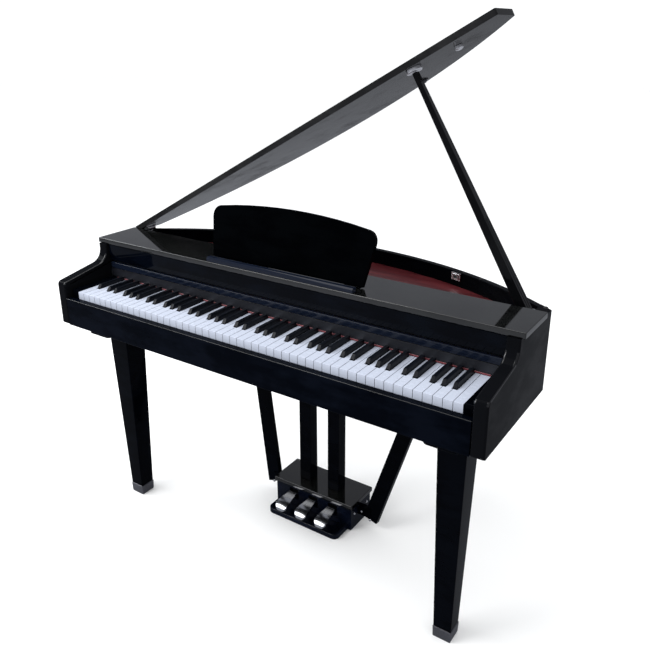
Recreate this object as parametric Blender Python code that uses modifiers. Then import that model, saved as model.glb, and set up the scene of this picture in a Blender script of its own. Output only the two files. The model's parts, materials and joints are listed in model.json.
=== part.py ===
"""Digital grand piano: a shallow bow-backed case with a propped lid, 88 keys and a pedal lyre.

Metres, +Z up. The pieces are drawn with Y = 0 at the front of the white keys, and an empty moves
them so that the origin is at the middle of the piano's footprint, on the floor.
"""

import math

import bmesh
import bpy
from mathutils import Euler, Matrix, Vector

# Clearances
GAP = 0.0003
RUNNING = 0.0012

# Case
SIDE_WALL = 0.033
CHEEK_WIDTH = 0.0289
CASE_FRONT = -0.0235
CASE_BOTTOM = 0.634
CASE_TOP = 0.8437
CASE_BACK = 0.5706
REAR_WALL = 0.018
BOTTOM_BOARD = 0.018
BOW_SQUARE = 0.1850
BOW_FOURTH = 0.0350
RISER_FRONT = 0.1402
ARM_SLOPE = 0.18
ARM_NOSE_TOP = 0.7660
ARM_COVE_RADIUS = 0.040
ARM_NOSE_RADIUS = 0.012
ARM_EDGE_RADIUS = 0.005
FOOT_ROUND = 0.006
EDGE_LEVEL = 0.1
SLIP_EDGE = 0.0012
CHEEK_EDGE = 0.0025
NAMEBOARD_EDGE = 0.0015

# Keyboard
KEY_PITCH = 0.0235
KEY_SPLIT = 0.0009
KEY_TOP = 0.737
WHITE_DEPTH = 0.0222
WHITE_LENGTH = 0.262
KEY_SEEN = 0.1470
BLACK_FRONT = 0.0530
BLACK_RISE = 0.0120
BLACK_WIDTH = 0.0115
BLACK_CROWN = 0.0092
BLACK_NOSE = 0.0080
SHARP_SLOT = 0.0137
SLOT_FRONT = 0.0505
COMB_BAR_LENGTH = 0.027
COMB_BAR_DEPTH = 0.008
BAR_LAP = 0.001
BAR_SPACE = 0.013
SHARP_BAR_LENGTH = 0.017
SHARP_LIFT = 0.004
TAIL_DEPTH = 0.009
RIDGE_WIDTH = 0.0024
WHITE_PIVOT_IN = 0.0085
SHARP_PIVOT_IN = 0.0090
KEY_DIP = 0.0115
FRAME_FRONT = 0.0220
FRAME_REST = 0.0200
FRAME_MARGIN = 0.0060
FRAME_SHEET = 0.0040
OCTAVES = 7
CHEEK_TOP = 0.7405
CHEEK_MARGIN = 0.0020
SLIP_TOP = 0.7175
SLIP_WALL = 0.019

# Key cover, strips and boards round it
COVER_RAIL_FRONT = 0.1480
COVER_RAIL_DEPTH = 0.0130
COVER_RAIL_LOW = 0.7700
COVER_RAIL_TALL = 0.0175
COVER_SLOPE = 0.19
COVER_SHEET = 0.0040
COVER_MARGIN = 0.0040
COVER_IN_GROOVE = 0.0050
COVER_RAIL_CLEAR = 0.0060
GROOVE_FRONT = -0.0040
GROOVE_DEPTH = 0.0065
NAMEBOARD_FRONT = 0.1500
NAMEBOARD_WALL = 0.0120
NAMEBOARD_LOW = 0.7930
FELT_FRONT = 0.1480
FELT_SHEET = 0.0032
FELT_LOW = 0.7380
FELT_TALL = 0.0035
STRIP_WALL = 0.0060
STRIP_TOP = 0.7675

# Top, lid and soundboard
BOARD = 0.0155
TOP_OVERHANG = 0.0077
TOP_FRONT = 0.1476
TOP_BACK = 0.2940
TOP_EDGE = 0.0020
LID_REACH = 0.0500
LID_JOINT = 0.0020
LID_INSET = 0.0004
LID_HINGE_OUT = 0.0035
LID_ANGLE = math.radians(28.7)
LID_ROUND = 0.0040
LID_CORNER = 0.0040
LID_EDGE = 0.0025
SOUNDBOARD_TOP = 0.8020
SOUNDBOARD = 0.0060
SOUNDBOARD_MARGIN = 0.0035
BELLY_WALL = 0.018

# Prop
PROP_INSET = 0.0503
PROP_SETBACK = 0.0185
PROP_Z = 0.8310
PROP_LEAN = math.radians(30.6)
PROP_WIDE = 0.0240
PROP_DEEP = 0.0300
PROP_TIP_SHARE = 0.50
PROP_EDGE = 0.0015
PROP_TIP_ROUND = 0.0020
PROP_GROOVE_WIDE = 0.0030
PROP_GROOVE_DEEP = 0.0050
PROP_GROOVE_OUT = 0.0055
PROP_GROOVE_LENGTH = 0.2350
PROP_NOTCH = 0.0060
PROP_PIN = 0.0040
BRACKET_HALF = 0.0140
EAR_SHEET = 0.0030
EAR_RISE = 0.0090
CUP_RADIUS = 0.0200
CUP_WALL = 0.0020
CUP_TALL = 0.0100
CUP_DISH = 0.0012

# Music desk
MUSIC_X = 0.0080
DESK_HALF_FOOT = 0.2445
DESK_HALF_WAIST = 0.2625
DESK_WAIST = 0.1100
DESK_TALL = 0.1625
DESK_CROWN = 0.0220
DESK_CROWN_SPAN = 0.88
DESK_CORNER = 0.0280
DESK_FLARE = 0.0010
DESK_FOOT_CORNER = 0.0040
DESK_SHEET = 0.0120
DESK_LEAN = math.radians(14.5)
DESK_FOOT_Y = 0.1860
DESK_EDGE = 0.0020
DESK_HINGE_X = 0.2085
DESK_HINGE_HALF = 0.0250
DESK_HINGE_PIN = 0.0016
DESK_HINGE_LEAF = 0.0140
LEDGE_HALF = 0.2380
LEDGE_FRONT = 0.1500
LEDGE_DEPTH = 0.0160
LEDGE_TALL = 0.0120
LEDGE_ROUND = 0.0040
LEDGE_RIBS = 5
LEDGE_RIB_DEEP = 0.0008

# Legs
LEG_INSET = 0.1151
LEG_Y = 0.1187
LEG_HALF_TOP = 0.0377
LEG_HALF_FOOT = 0.0245
LEG_CAP_TALL = 0.0325
LEG_CAP_LIP = 0.0012
LEG_EDGE = 0.0030
LEG_CAP_EDGE = 0.0020
LEG_PLATE = 0.0300
LEG_PLATE_HALF = 0.0440
LEG_PLATE_LENGTH = 0.2114
LEG_PLATE_ROUND = 0.0120

# Pedal lyre
BOX_FRONT = 0.3250
BOX_BACK = 0.4400
BOX_TOP = 0.0768
BOX_WALL = 0.0120
BOX_LID = 0.0150
BOX_LID_REACH = 0.0050
TRAY_HALF = 0.1310
TRAY_FRONT = 0.2580
TRAY_FLOOR = 0.0080
TRAY_RIM = 0.0170
TRAY_RIM_WALL = 0.0080
TRAY_CORNER = 0.0180
PEDAL_PITCH = 0.0740
PEDAL_AXIS_Y = 0.4020
PEDAL_AXIS_Z = 0.0480
PEDAL_PIN = 0.0040
PEDAL_ARM_HALF = 0.0090
PEDAL_SHEET = 0.0070
PEDAL_TIP_Y = 0.2450
PEDAL_TIP_Z = 0.0370
PEDAL_NECK_Y = 0.3150
PEDAL_NECK_Z = 0.0600
PEDAL_NECK_HALF = 0.0140
PEDAL_TIP_HALF = 0.0215
PEDAL_TIP_LENGTH = 0.0240
PEDAL_TIP_ROUND = 0.0160
PEDAL_WAIST_ROUND = 0.0200
PEDAL_STEP_ROUND = 0.0040
PEDAL_EDGE_ROUND = 0.0025
SLOT_HALF = 0.0170
SLOT_LOW = 0.0300
SLOT_HIGH = 0.0680
POST_X = 0.0535
POST_HALF_X = 0.0205
POST_FRONT = 0.3600
POST_BACK = 0.4000
LYRE_HEAD = 0.0120
LYRE_HEAD_HALF = 0.1050
LYRE_HEAD_REACH = 0.0250
STRUT_FOOT_X = 0.1867
STRUT_FOOT_Y = 0.3750
STRUT_FOOT_Z = 0.0310
STRUT_HEAD_X = 0.3480
STRUT_HEAD_Y = 0.4740
STRUT_WIDE = 0.0470
STRUT_DEEP = 0.0180
STRUT_BRACKET = 0.0300
STRUT_BRACKET_LOW = 0.0370

# Fittings and inner pieces
CATCH_X = 0.3700
CATCH_HALF = 0.0160
CATCH_TALL = 0.0220
CATCH_SHEET = 0.0050
CATCH_DROP = 0.0020
CATCH_EDGE = 0.0010
KNOB_ALONG = 1.2170
KNOB_Y = 0.3650
KNOB_RADIUS = 0.0100
KNOB_TALL = 0.0110
KNOB_STRAIGHT = 0.6
HINGE_START = 0.3000
HINGE_END = 0.3420
HINGE_LEAF = 0.0016
HINGE_WIDE = 0.0220
HINGE_KNUCKLE = 0.0026
HINGE_PIN = 0.0011
SPEAKER_X = 0.3500
SPEAKER_HOLE = 0.0530
SPEAKER_FLANGE = 0.0620
INNER_SPACE = 0.0150
SPEAKER_TALL = 0.0560
CIRCUIT_HALF_X = 0.1100
CIRCUIT_DEPTH = 0.1000
CIRCUIT_SHEET = 0.0016
CIRCUIT_LIFT = 0.0080
CIRCUIT_POST = 0.0040
CIRCUIT_POST_INSET = 0.0100
CIRCUIT_BLOCKS = ((-0.060, 0.030, 0.034), (0.010, 0.060, 0.028), (0.070, 0.035, 0.040))

# Directions in which flat outlines are laid
LEVEL = (0.0, 0.0, 0.0)
UPRIGHT = (math.radians(90), 0.0, 0.0)
SIDEWAYS = (math.radians(90), 0.0, math.radians(90))

# Values that follow from the ones above
KEYS_HALF = 26 * KEY_PITCH
SIDE_FACE = KEYS_HALF + CHEEK_WIDTH
CASE_HALF = SIDE_FACE + SIDE_WALL
BOARD_LOW = CASE_TOP + GAP
BOARD_TOP = BOARD_LOW + BOARD
FLOOR_TOP = CASE_BOTTOM + BOTTOM_BOARD
KEY_LOW = KEY_TOP - WHITE_DEPTH
AXIS_Z = KEY_LOW - BAR_LAP - GAP
COMB_BAR_FRONT = WHITE_LENGTH - COMB_BAR_LENGTH
WHITE_AXIS_Y = WHITE_LENGTH - WHITE_PIVOT_IN
SHARP_BAR_FRONT = WHITE_LENGTH + BAR_SPACE
SHARP_BAR_BACK = SHARP_BAR_FRONT + SHARP_BAR_LENGTH
SHARP_AXIS_Y = SHARP_BAR_FRONT + SHARP_PIVOT_IN
FRAME_BACK = SHARP_BAR_BACK + FRAME_MARGIN
CHEEK_BACK = FRAME_BACK + CHEEK_MARGIN
COVER_BACK = CHEEK_BACK + COVER_MARGIN
SOUNDBOARD_FRONT = COVER_BACK + SOUNDBOARD_MARGIN
BELLY_BACK = SOUNDBOARD_FRONT + BELLY_WALL
SPEAKER_Y = BELLY_BACK + INNER_SPACE + SPEAKER_FLANGE
CIRCUIT_FRONT = BELLY_BACK + INNER_SPACE
LEG_X = CASE_HALF - LEG_INSET
PROP_X = CASE_HALF - PROP_INSET
PROP_Y = SOUNDBOARD_FRONT + PROP_SETBACK
LID_HALF = CASE_HALF - LID_INSET
LID_AXIS_X = -LID_HALF - LID_HINGE_OUT
OPEN_LID = (0.0, -LID_ANGLE, 0.0)
MIDDLE_Y = (CASE_FRONT + CASE_BACK + LID_REACH) / 2


def clear_scene():
    """Empties the file that the script runs in."""
    for thing in list(bpy.data.objects):
        bpy.data.objects.remove(thing, do_unlink=True)


def new_collection(name):
    made = bpy.data.collections.new(name)
    bpy.context.scene.collection.children.link(made)
    return made


def new_empty(name, place, parent=None):
    """An axis or a frame that pieces are parented to."""
    empty = bpy.data.objects.new(name, None)
    empty.location = place
    empty.parent = parent
    PARTS.objects.link(empty)
    bpy.context.view_layer.update()
    return empty


def material(name, colour, roughness, metallic=0.0):
    made = bpy.data.materials.new(name)
    made.use_nodes = True
    shader = made.node_tree.nodes["Principled BSDF"]
    shader.inputs["Base Color"].default_value = (*colour, 1.0)
    shader.inputs["Roughness"].default_value = roughness
    shader.inputs["Metallic"].default_value = metallic
    made.diffuse_color = (*colour, 1.0)
    return made


def place(obj, finish, location, rotation=LEVEL, parent=None):
    """Puts a piece at a place given in the piano's frame, under its parent."""
    obj.data.materials.append(finish)
    holder = parent or FRAME
    spot = Matrix.Translation(Vector(location)) @ Euler(rotation).to_matrix().to_4x4()
    obj.parent = holder
    obj.matrix_local = holder.matrix_world.inverted() @ FRAME.matrix_world @ spot
    bpy.context.view_layer.update()
    return obj


def new_object(name, mesh):
    obj = bpy.data.objects.new(name, mesh)
    PARTS.objects.link(obj)
    return obj


def make_cutter(obj):
    """Moves an object among the cutters, which are not parts."""
    PARTS.objects.unlink(obj)
    CUTTERS.objects.link(obj)
    obj.hide_render = True
    obj.display_type = "WIRE"
    return obj


def boolean(obj, other, operation):
    step = obj.modifiers.new(f"{operation.title()} {other.name}", "BOOLEAN")
    step.operation = operation
    step.object = other
    step.solver = "EXACT"


def soften(obj, width, segments=2, angle=40.0):
    """Rounds every edge sharper than the angle."""
    step = obj.modifiers.new("Rounded edges", "BEVEL")
    step.width = width
    step.segments = segments
    step.limit_method = "ANGLE"
    step.angle_limit = math.radians(angle)


def soften_some(obj, width, segments, wanted):
    """Rounds the edges whose middle and direction the test wants."""
    mesh = obj.data
    weights = mesh.attributes.new("bevel_weight_edge", "FLOAT", "EDGE")
    for edge in mesh.edges:
        start, end = (mesh.vertices[i].co for i in edge.vertices)
        if wanted((start + end) / 2, (end - start).normalized()):
            weights.data[edge.index].value = 1.0
    step = obj.modifiers.new("Rounded edges", "BEVEL")
    step.width = width
    step.segments = segments
    step.limit_method = "WEIGHT"


def shade_round(mesh, angle=35.0):
    mesh.shade_smooth()
    mesh.set_sharp_from_angle(angle=math.radians(angle))


def box_mesh(name, size):
    mesh = bpy.data.meshes.new(name)
    form = bmesh.new()
    bmesh.ops.create_cube(form, size=1.0)
    bmesh.ops.scale(form, vec=size, verts=form.verts)
    form.to_mesh(mesh)
    form.free()
    return mesh


def box(name, low, high, finish, parent=None, edge=0.0, segments=2):
    """A board between its lowest and highest corners, in the piano's frame."""
    low = Vector(low)
    high = Vector(high)
    obj = new_object(name, box_mesh(name, high - low))
    if edge:
        soften(obj, edge, segments)
    return place(obj, finish, (low + high) / 2, LEVEL, parent)


def drum(name, radius, length, finish, location, rotation=LEVEL, sides=24, parent=None):
    """A round bar along its own Z."""
    mesh = bpy.data.meshes.new(name)
    form = bmesh.new()
    bmesh.ops.create_cone(
        form, cap_ends=True, segments=sides, radius1=radius, radius2=radius, depth=length
    )
    form.to_mesh(mesh)
    form.free()
    shade_round(mesh)
    return place(new_object(name, mesh), finish, location, rotation, parent)


def corner_arc(before, corner, after, radius, steps):
    """The points of a round corner between two straight edges."""
    corner = Vector(corner)
    back = (Vector(before) - corner).normalized()
    on = (Vector(after) - corner).normalized()
    half = back.angle(on) / 2
    reach = radius / math.tan(half)
    centre = corner + (back + on).normalized() * (radius / math.sin(half))
    start = corner + back * reach - centre
    end = corner + on * reach - centre
    turn = start.angle_signed(end)
    points = []
    for i in range(steps + 1):
        angle = -turn * i / steps
        spun = Matrix.Rotation(angle, 2) @ start
        points.append(tuple(centre + spun))
    return points


def rounded(corners, steps=5):
    """An outline whose corners are (u, v) or (u, v, radius)."""
    points = []
    for i, corner in enumerate(corners):
        if len(corner) == 2:
            points.append(corner)
            continue
        before = corners[i - 1][:2]
        after = corners[(i + 1) % len(corners)][:2]
        points += corner_arc(before, corner[:2], after, corner[2], steps)
    return points


def circle(centre_u, centre_v, radius, sides=32):
    return [
        (
            centre_u + radius * math.cos(math.tau * i / sides),
            centre_v + radius * math.sin(math.tau * i / sides),
        )
        for i in range(sides)
    ]


def flat_mesh(name, outlines, thickness):
    """A flat outline, with any further outlines as holes, thickened both ways from its plane."""
    curve = bpy.data.curves.new(name, "CURVE")
    curve.dimensions = "2D"
    curve.fill_mode = "BOTH"
    curve.extrude = thickness / 2
    for points in outlines:
        spline = curve.splines.new("POLY")
        spline.points.add(len(points) - 1)
        for target, (u, v) in zip(spline.points, points):
            target.co = (u, v, 0.0, 1.0)
        spline.use_cyclic_u = True
    guide = bpy.data.objects.new(name, curve)
    bpy.context.scene.collection.objects.link(guide)
    graph = bpy.context.evaluated_depsgraph_get()
    mesh = bpy.data.meshes.new_from_object(guide.evaluated_get(graph))
    bpy.data.objects.remove(guide)
    form = bmesh.new()
    form.from_mesh(mesh)
    bmesh.ops.remove_doubles(form, verts=form.verts, dist=1e-5)
    bmesh.ops.recalc_face_normals(form, faces=form.faces)
    form.to_mesh(mesh)
    form.free()
    mesh.materials.clear()
    mesh.name = name
    return mesh


def flat(name, outlines, thickness, finish, location, rotation=LEVEL, parent=None):
    mesh = flat_mesh(name, outlines, thickness)
    return place(new_object(name, mesh), finish, location, rotation, parent)


def turned(name, profile, finish, location, rotation=LEVEL, steps=32, parent=None):
    """A turned piece from (radius, height) points, top to bottom along its outer side."""
    mesh = bpy.data.meshes.new(name)
    mesh.from_pydata(
        [(r, 0.0, z) for r, z in profile], [(i, i + 1) for i in range(len(profile) - 1)], []
    )
    obj = new_object(name, mesh)
    spin = obj.modifiers.new("Turned", "SCREW")
    spin.steps = steps
    spin.render_steps = steps
    spin.use_merge_vertices = True
    spin.merge_threshold = 0.00005
    spin.use_smooth_shade = True
    return place(obj, finish, location, rotation, parent)


def bow(x):
    """How far the back has come forward at this distance from the middle."""
    share = x / CASE_HALF
    return BOW_SQUARE * share**2 + BOW_FOURTH * share**4


def bow_line(back, half, inset=0.0, count=40):
    """Points along the bowed back from right to left, moved in square to the bow."""
    points = []
    for i in range(count + 1):
        x = half * (1 - 2 * i / count)
        slope = (bow(x + 1e-5) - bow(x - 1e-5)) / 2e-5
        normal = Vector((slope, 1.0)).normalized()
        points.append((x - inset * normal.x, back - bow(x) - inset * normal.y))
    return points


def bow_at(x, back, inset=0.0):
    """The Y of the bowed back moved in by the inset, at this X."""
    slope = (bow(x + 1e-5) - bow(x - 1e-5)) / 2e-5
    return back - bow(x) - inset * math.hypot(1.0, slope)


def arm_profile():
    """The side's outline in Y and Z: key arm, cove, riser and the run to the back."""
    lean = math.hypot(1.0, ARM_SLOPE)
    cove_y = RISER_FRONT - ARM_COVE_RADIUS
    line_z = ARM_NOSE_TOP + ARM_SLOPE * (cove_y - CASE_FRONT)
    cove_z = line_z + ARM_COVE_RADIUS * lean
    bottom_turn = -math.atan(1 / ARM_SLOPE)
    cove = []
    for i in range(9):
        angle = bottom_turn * (1 - i / 8)
        cove.append(
            (cove_y + ARM_COVE_RADIUS * math.cos(angle), cove_z + ARM_COVE_RADIUS * math.sin(angle))
        )
    corners = [
        (CASE_FRONT, CASE_BOTTOM, FOOT_ROUND),
        (CASE_BACK, CASE_BOTTOM),
        (CASE_BACK, CASE_TOP),
        (RISER_FRONT, CASE_TOP),
        *reversed(cove),
        (CASE_FRONT, ARM_NOSE_TOP, ARM_NOSE_RADIUS),
    ]
    return rounded(corners)


def is_arm_edge(at, way):
    """True for the long edges of a side's front, key arm, cove and riser."""
    on_face = abs(abs(at.z) - SIDE_WALL / 2) < GAP and abs(way.z) < EDGE_LEVEL
    return on_face and at.x < RISER_FRONT + GAP and CASE_BOTTOM + GAP < at.y < CASE_TOP - GAP


def case_sides():
    """The two sides, cut off behind along the bow, with a groove for the key cover."""
    plan = [(CASE_HALF + BOARD, 2 * CASE_FRONT), *bow_line(CASE_BACK, CASE_HALF + BOARD)]
    plan.append((-CASE_HALF - BOARD, 2 * CASE_FRONT))
    middle_z = (CASE_BOTTOM + CASE_TOP) / 2
    trim = flat("trim_to_bow", [plan], 2 * (CASE_TOP - CASE_BOTTOM), LACQUER, (0, 0, middle_z))
    make_cutter(trim)
    outline = arm_profile()
    for name, hand in (("side_left", -1), ("side_right", 1)):
        centre = (hand * (CASE_HALF - SIDE_WALL / 2), 0, 0)
        side = flat(name, [outline], SIDE_WALL, LACQUER, centre, SIDEWAYS)
        soften_some(side, ARM_EDGE_RADIUS, 3, is_arm_edge)
        boolean(side, trim, "INTERSECT")
        boolean(side, cover_groove(hand), "DIFFERENCE")


def cover_line(y):
    """The middle height of the key cover's sheet at this Y, when it is open."""
    start = COVER_RAIL_LOW + COVER_RAIL_TALL - COVER_SHEET / 2 - GAP
    return start + COVER_SLOPE * (y - COVER_RAIL_FRONT)


def slanted_bar(name, front, back, half_x, thickness, finish, parent=None):
    """A sheet that lies along the key cover's slope between two Y values."""
    outline = [
        (front, cover_line(front) - thickness / 2),
        (back, cover_line(back) - thickness / 2),
        (back, cover_line(back) + thickness / 2),
        (front, cover_line(front) + thickness / 2),
    ]
    return flat(name, [outline], 2 * half_x, finish, (0, 0, 0), SIDEWAYS, parent)


def cover_groove(hand):
    """The slot in a side's inner face that the key cover's sheet runs in."""
    name = f"groove_{'right' if hand > 0 else 'left'}"
    back = COVER_BACK + RUNNING
    tall = COVER_SHEET + 2 * GAP
    slot = slanted_bar(name, GROOVE_FRONT, back, GROOVE_DEPTH, tall, LACQUER)
    slot.location.x += hand * SIDE_FACE
    bpy.context.view_layer.update()
    return make_cutter(slot)


def rear_rim():
    """The bent back wall between the two sides."""
    half = SIDE_FACE - GAP
    outer = bow_line(CASE_BACK, half)
    inner = bow_line(CASE_BACK, half, REAR_WALL)
    inner = [(x, y) for x, y in inner if abs(x) < half - GAP]
    right = (half, bow_at(half, CASE_BACK, REAR_WALL))
    left = (-half, right[1])
    outline = [*outer, left, *reversed(inner), right]
    middle = (CASE_BOTTOM + CASE_TOP) / 2
    rim = flat("rear_rim", [outline], CASE_TOP - CASE_BOTTOM, LACQUER, (0, 0, middle))
    return rim


def inside_outline(front, gap=GAP):
    """The plan of a board that fills the case between the sides and the rim."""
    half = SIDE_FACE - gap
    line = bow_line(CASE_BACK, half, REAR_WALL + gap)
    line = [(x, y) for x, y in line if abs(x) < half - gap]
    edge = bow_at(half, CASE_BACK, REAR_WALL + gap)
    return [(half, front), (half, edge), *line, (-half, edge), (-half, front)]


def case_boards():
    rear_rim()
    slip_back = CASE_FRONT + SLIP_WALL
    half = SIDE_FACE - GAP
    holes = [circle(hand * SPEAKER_X, SPEAKER_Y, SPEAKER_HOLE) for hand in (-1, 1)]
    middle = CASE_BOTTOM + BOTTOM_BOARD / 2
    outline = inside_outline(slip_back + GAP)
    flat("bottom_board", [outline, *holes], BOTTOM_BOARD, LACQUER, (0, 0, middle))
    low = (-half, CASE_FRONT, CASE_BOTTOM)
    box("key_slip", low, (half, slip_back, SLIP_TOP), LACQUER, edge=SLIP_EDGE)
    for name, hand in (("cheek_left", -1), ("cheek_right", 1)):
        near = hand * (KEYS_HALF + KEY_SPLIT / 2)
        far = hand * half
        low = (min(near, far), 0.0, FLOOR_TOP + GAP)
        high = (max(near, far), CHEEK_BACK, CHEEK_TOP)
        box(name, low, high, LACQUER, edge=CHEEK_EDGE)
    low = (-half, NAMEBOARD_FRONT, NAMEBOARD_LOW)
    high = (half, NAMEBOARD_FRONT + NAMEBOARD_WALL, CASE_TOP)
    box("nameboard", low, high, LACQUER, edge=NAMEBOARD_EDGE, segments=1)
    top_half = CASE_HALF + TOP_OVERHANG
    low = (-top_half, TOP_FRONT, BOARD_LOW)
    high = (top_half, TOP_BACK, BOARD_TOP)
    box("top_board", low, high, LACQUER, edge=TOP_EDGE)


def soundboard_and_rail():
    """The red soundboard, carried in front on a cross rail."""
    middle = SOUNDBOARD_TOP - SOUNDBOARD / 2
    outline = inside_outline(SOUNDBOARD_FRONT)
    flat("soundboard", [outline], SOUNDBOARD, CRIMSON, (0, 0, middle))
    half = SIDE_FACE - GAP
    low = (-half, SOUNDBOARD_FRONT, FLOOR_TOP + GAP)
    high = (half, BELLY_BACK, SOUNDBOARD_TOP - SOUNDBOARD - GAP)
    box("belly_rail", low, high, BARE_WOOD)


def key_frame():
    """The pressed frame under the keys: a front rest and a pivot ridge for each set of keys."""
    low = FLOOR_TOP + GAP
    plate = low + FRAME_SHEET
    tip = RIDGE_WIDTH / 2
    foot = 3 * tip
    outline = [
        (FRAME_FRONT, low),
        (FRAME_BACK, low),
        (FRAME_BACK, plate),
        (SHARP_AXIS_Y + foot, plate),
        (SHARP_AXIS_Y + tip, AXIS_Z),
        (SHARP_AXIS_Y - tip, AXIS_Z),
        (SHARP_AXIS_Y - foot, plate),
        (WHITE_AXIS_Y + foot, plate),
        (WHITE_AXIS_Y + tip, AXIS_Z),
        (WHITE_AXIS_Y - tip, AXIS_Z),
        (WHITE_AXIS_Y - foot, plate),
        (FRAME_FRONT + FRAME_REST, plate),
        (FRAME_FRONT + FRAME_REST, AXIS_Z - KEY_DIP),
        (FRAME_FRONT, AXIS_Z - KEY_DIP),
    ]
    half = KEYS_HALF - RUNNING
    flat("key_frame", [outline], 2 * half, PRESSED_STEEL, (0, 0, 0), SIDEWAYS)


def natural_name(index):
    """The name of a white key, counted from the lowest, which is an A."""
    return "ABCDEFG"[index % 7]


def tail_edges(index):
    """The left and right ends of a white key's tail, between the sharps beside it."""
    name = natural_name(index)
    group = "CDE" if name in "CDE" else "FGAB"
    span = len(group) * KEY_PITCH
    tail = (span - (len(group) - 1) * SHARP_SLOT) / len(group)
    order = group.index(name)
    start = (index - order) * KEY_PITCH - KEYS_HALF
    left = start + order * (tail + SHARP_SLOT)
    return left, left + tail


def white_outline(index):
    """A white key seen from above, cut away for the sharps beside it."""
    split = KEY_SPLIT / 2
    left = index * KEY_PITCH - KEYS_HALF
    right = left + KEY_PITCH
    tail_left, tail_right = tail_edges(index)
    if index == 0:
        tail_left = left
    if index == 51:
        tail_right = right
    points = [(left + split, 0.0), (right - split, 0.0)]
    if tail_right < right - split:
        points += [(right - split, SLOT_FRONT), (tail_right, SLOT_FRONT)]
        points.append((tail_right, WHITE_LENGTH))
    else:
        points.append((right - split, WHITE_LENGTH))
    if tail_left > left + split:
        points += [(tail_left, WHITE_LENGTH), (tail_left, SLOT_FRONT)]
        points.append((left + split, SLOT_FRONT))
    else:
        points.append((left + split, WHITE_LENGTH))
    return points


def octave_keys(octave):
    """The white keys of an octave set: the lowest set also has A and B below it, the top one C above."""
    first = 2 + 7 * octave
    last = first + 7
    if octave == 0:
        first = 0
    if octave == OCTAVES - 1:
        last = 52
    return range(first, last)


def white_comb(octave):
    """The white keys of one octave, moulded on a low bar behind."""
    keys = octave_keys(octave)
    number = octave + 1
    axis = new_empty(f"white_axis_{number}", (0, WHITE_AXIS_Y, AXIS_Z), FRAME)
    outlines = [white_outline(i) for i in keys]
    comb = flat(
        f"white_keys_{number}", outlines, WHITE_DEPTH, IVORY, (0, 0, KEY_TOP - WHITE_DEPTH / 2), LEVEL, axis
    )
    tail_cut = box(
        f"white_tail_cut_{number}",
        (-KEYS_HALF - BOARD, COMB_BAR_FRONT, KEY_LOW + COMB_BAR_DEPTH),
        (KEYS_HALF + BOARD, WHITE_LENGTH + BOARD, KEY_TOP + BOARD),
        IVORY,
    )
    left = white_outline(keys[0])[0][0]
    right = white_outline(keys[-1])[1][0]
    bar = box(
        f"white_bar_{number}",
        (left + BAR_LAP, COMB_BAR_FRONT - BAR_LAP, KEY_LOW - BAR_LAP),
        (right - BAR_LAP, WHITE_LENGTH + BAR_LAP, KEY_LOW + COMB_BAR_DEPTH + BAR_LAP),
        IVORY,
    )
    boolean(comb, make_cutter(tail_cut), "DIFFERENCE")
    boolean(comb, make_cutter(bar), "UNION")


def sharp_places(octave):
    """The middle X of each sharp that belongs to an octave set."""
    places = []
    for index in octave_keys(octave):
        if natural_name(index) in "CDFGA" and index < 51:
            places.append(tail_edges(index)[1] + SHARP_SLOT / 2)
    return places


def sharp_mesh(name, places):
    """The sharps of one octave: a crowned cap with a sloping nose, and a thin tail behind."""
    crown = KEY_TOP + BLACK_RISE
    tail_top = KEY_TOP - 2 * GAP
    outline = [
        (BLACK_FRONT, KEY_LOW + SHARP_LIFT),
        (COMB_BAR_FRONT - 4 * RUNNING, KEY_LOW + SHARP_LIFT),
        (COMB_BAR_FRONT - 4 * RUNNING, tail_top - TAIL_DEPTH),
        (SHARP_BAR_BACK, tail_top - TAIL_DEPTH),
        (SHARP_BAR_BACK, tail_top),
        (KEY_SEEN, tail_top),
        (KEY_SEEN, crown),
        (BLACK_FRONT + BLACK_NOSE, crown),
        (BLACK_FRONT, KEY_TOP + BLACK_RISE / 8),
    ]
    one = flat_mesh(name, [outline], BLACK_WIDTH)
    form = bmesh.new()
    for place_x in places:
        before = len(form.verts)
        form.from_mesh(one)
        form.verts.ensure_lookup_table()
        for vertex in form.verts[before:]:
            y, z, x = vertex.co
            if z > crown - GAP:
                x *= BLACK_CROWN / BLACK_WIDTH
            vertex.co = (x + place_x, y, z)
    bpy.data.meshes.remove(one)
    mesh = bpy.data.meshes.new(name)
    form.to_mesh(mesh)
    form.free()
    return mesh


def sharp_comb(octave):
    """The sharps of one octave, on a bar behind the white keys' bar."""
    number = octave + 1
    places = sharp_places(octave)
    axis = new_empty(f"sharp_axis_{number}", (0, SHARP_AXIS_Y, AXIS_Z), FRAME)
    mesh = sharp_mesh(f"black_keys_{number}", places)
    comb = place(new_object(mesh.name, mesh), EBONY, (0, 0, 0), LEVEL, axis)
    reach = BLACK_WIDTH / 2
    bar = box(
        f"sharp_bar_{number}",
        (places[0] - reach - BAR_LAP, SHARP_BAR_FRONT, KEY_LOW - BAR_LAP),
        (places[-1] + reach + BAR_LAP, SHARP_BAR_BACK + BAR_LAP, KEY_TOP - 2 * BAR_LAP),
        EBONY,
    )
    boolean(comb, make_cutter(bar), "UNION")


def keyboard():
    key_frame()
    for octave in range(OCTAVES):
        white_comb(octave)
        sharp_comb(octave)


def felt_and_strip():
    """The red felt behind the keys and the dark strip that it is glued to."""
    half = KEYS_HALF + KEY_SPLIT / 2 - GAP
    low = (-half, FELT_FRONT, FELT_LOW)
    high = (half, FELT_FRONT + FELT_SHEET, FELT_LOW + FELT_TALL)
    box("name_felt", low, high, RED_FELT)
    strip_front = FELT_FRONT + FELT_SHEET + GAP
    low = (-(SIDE_FACE - GAP), strip_front, CHEEK_TOP + GAP)
    high = (SIDE_FACE - GAP, strip_front + STRIP_WALL, STRIP_TOP)
    box("key_strip", low, high, DARK_STRIP)


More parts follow.
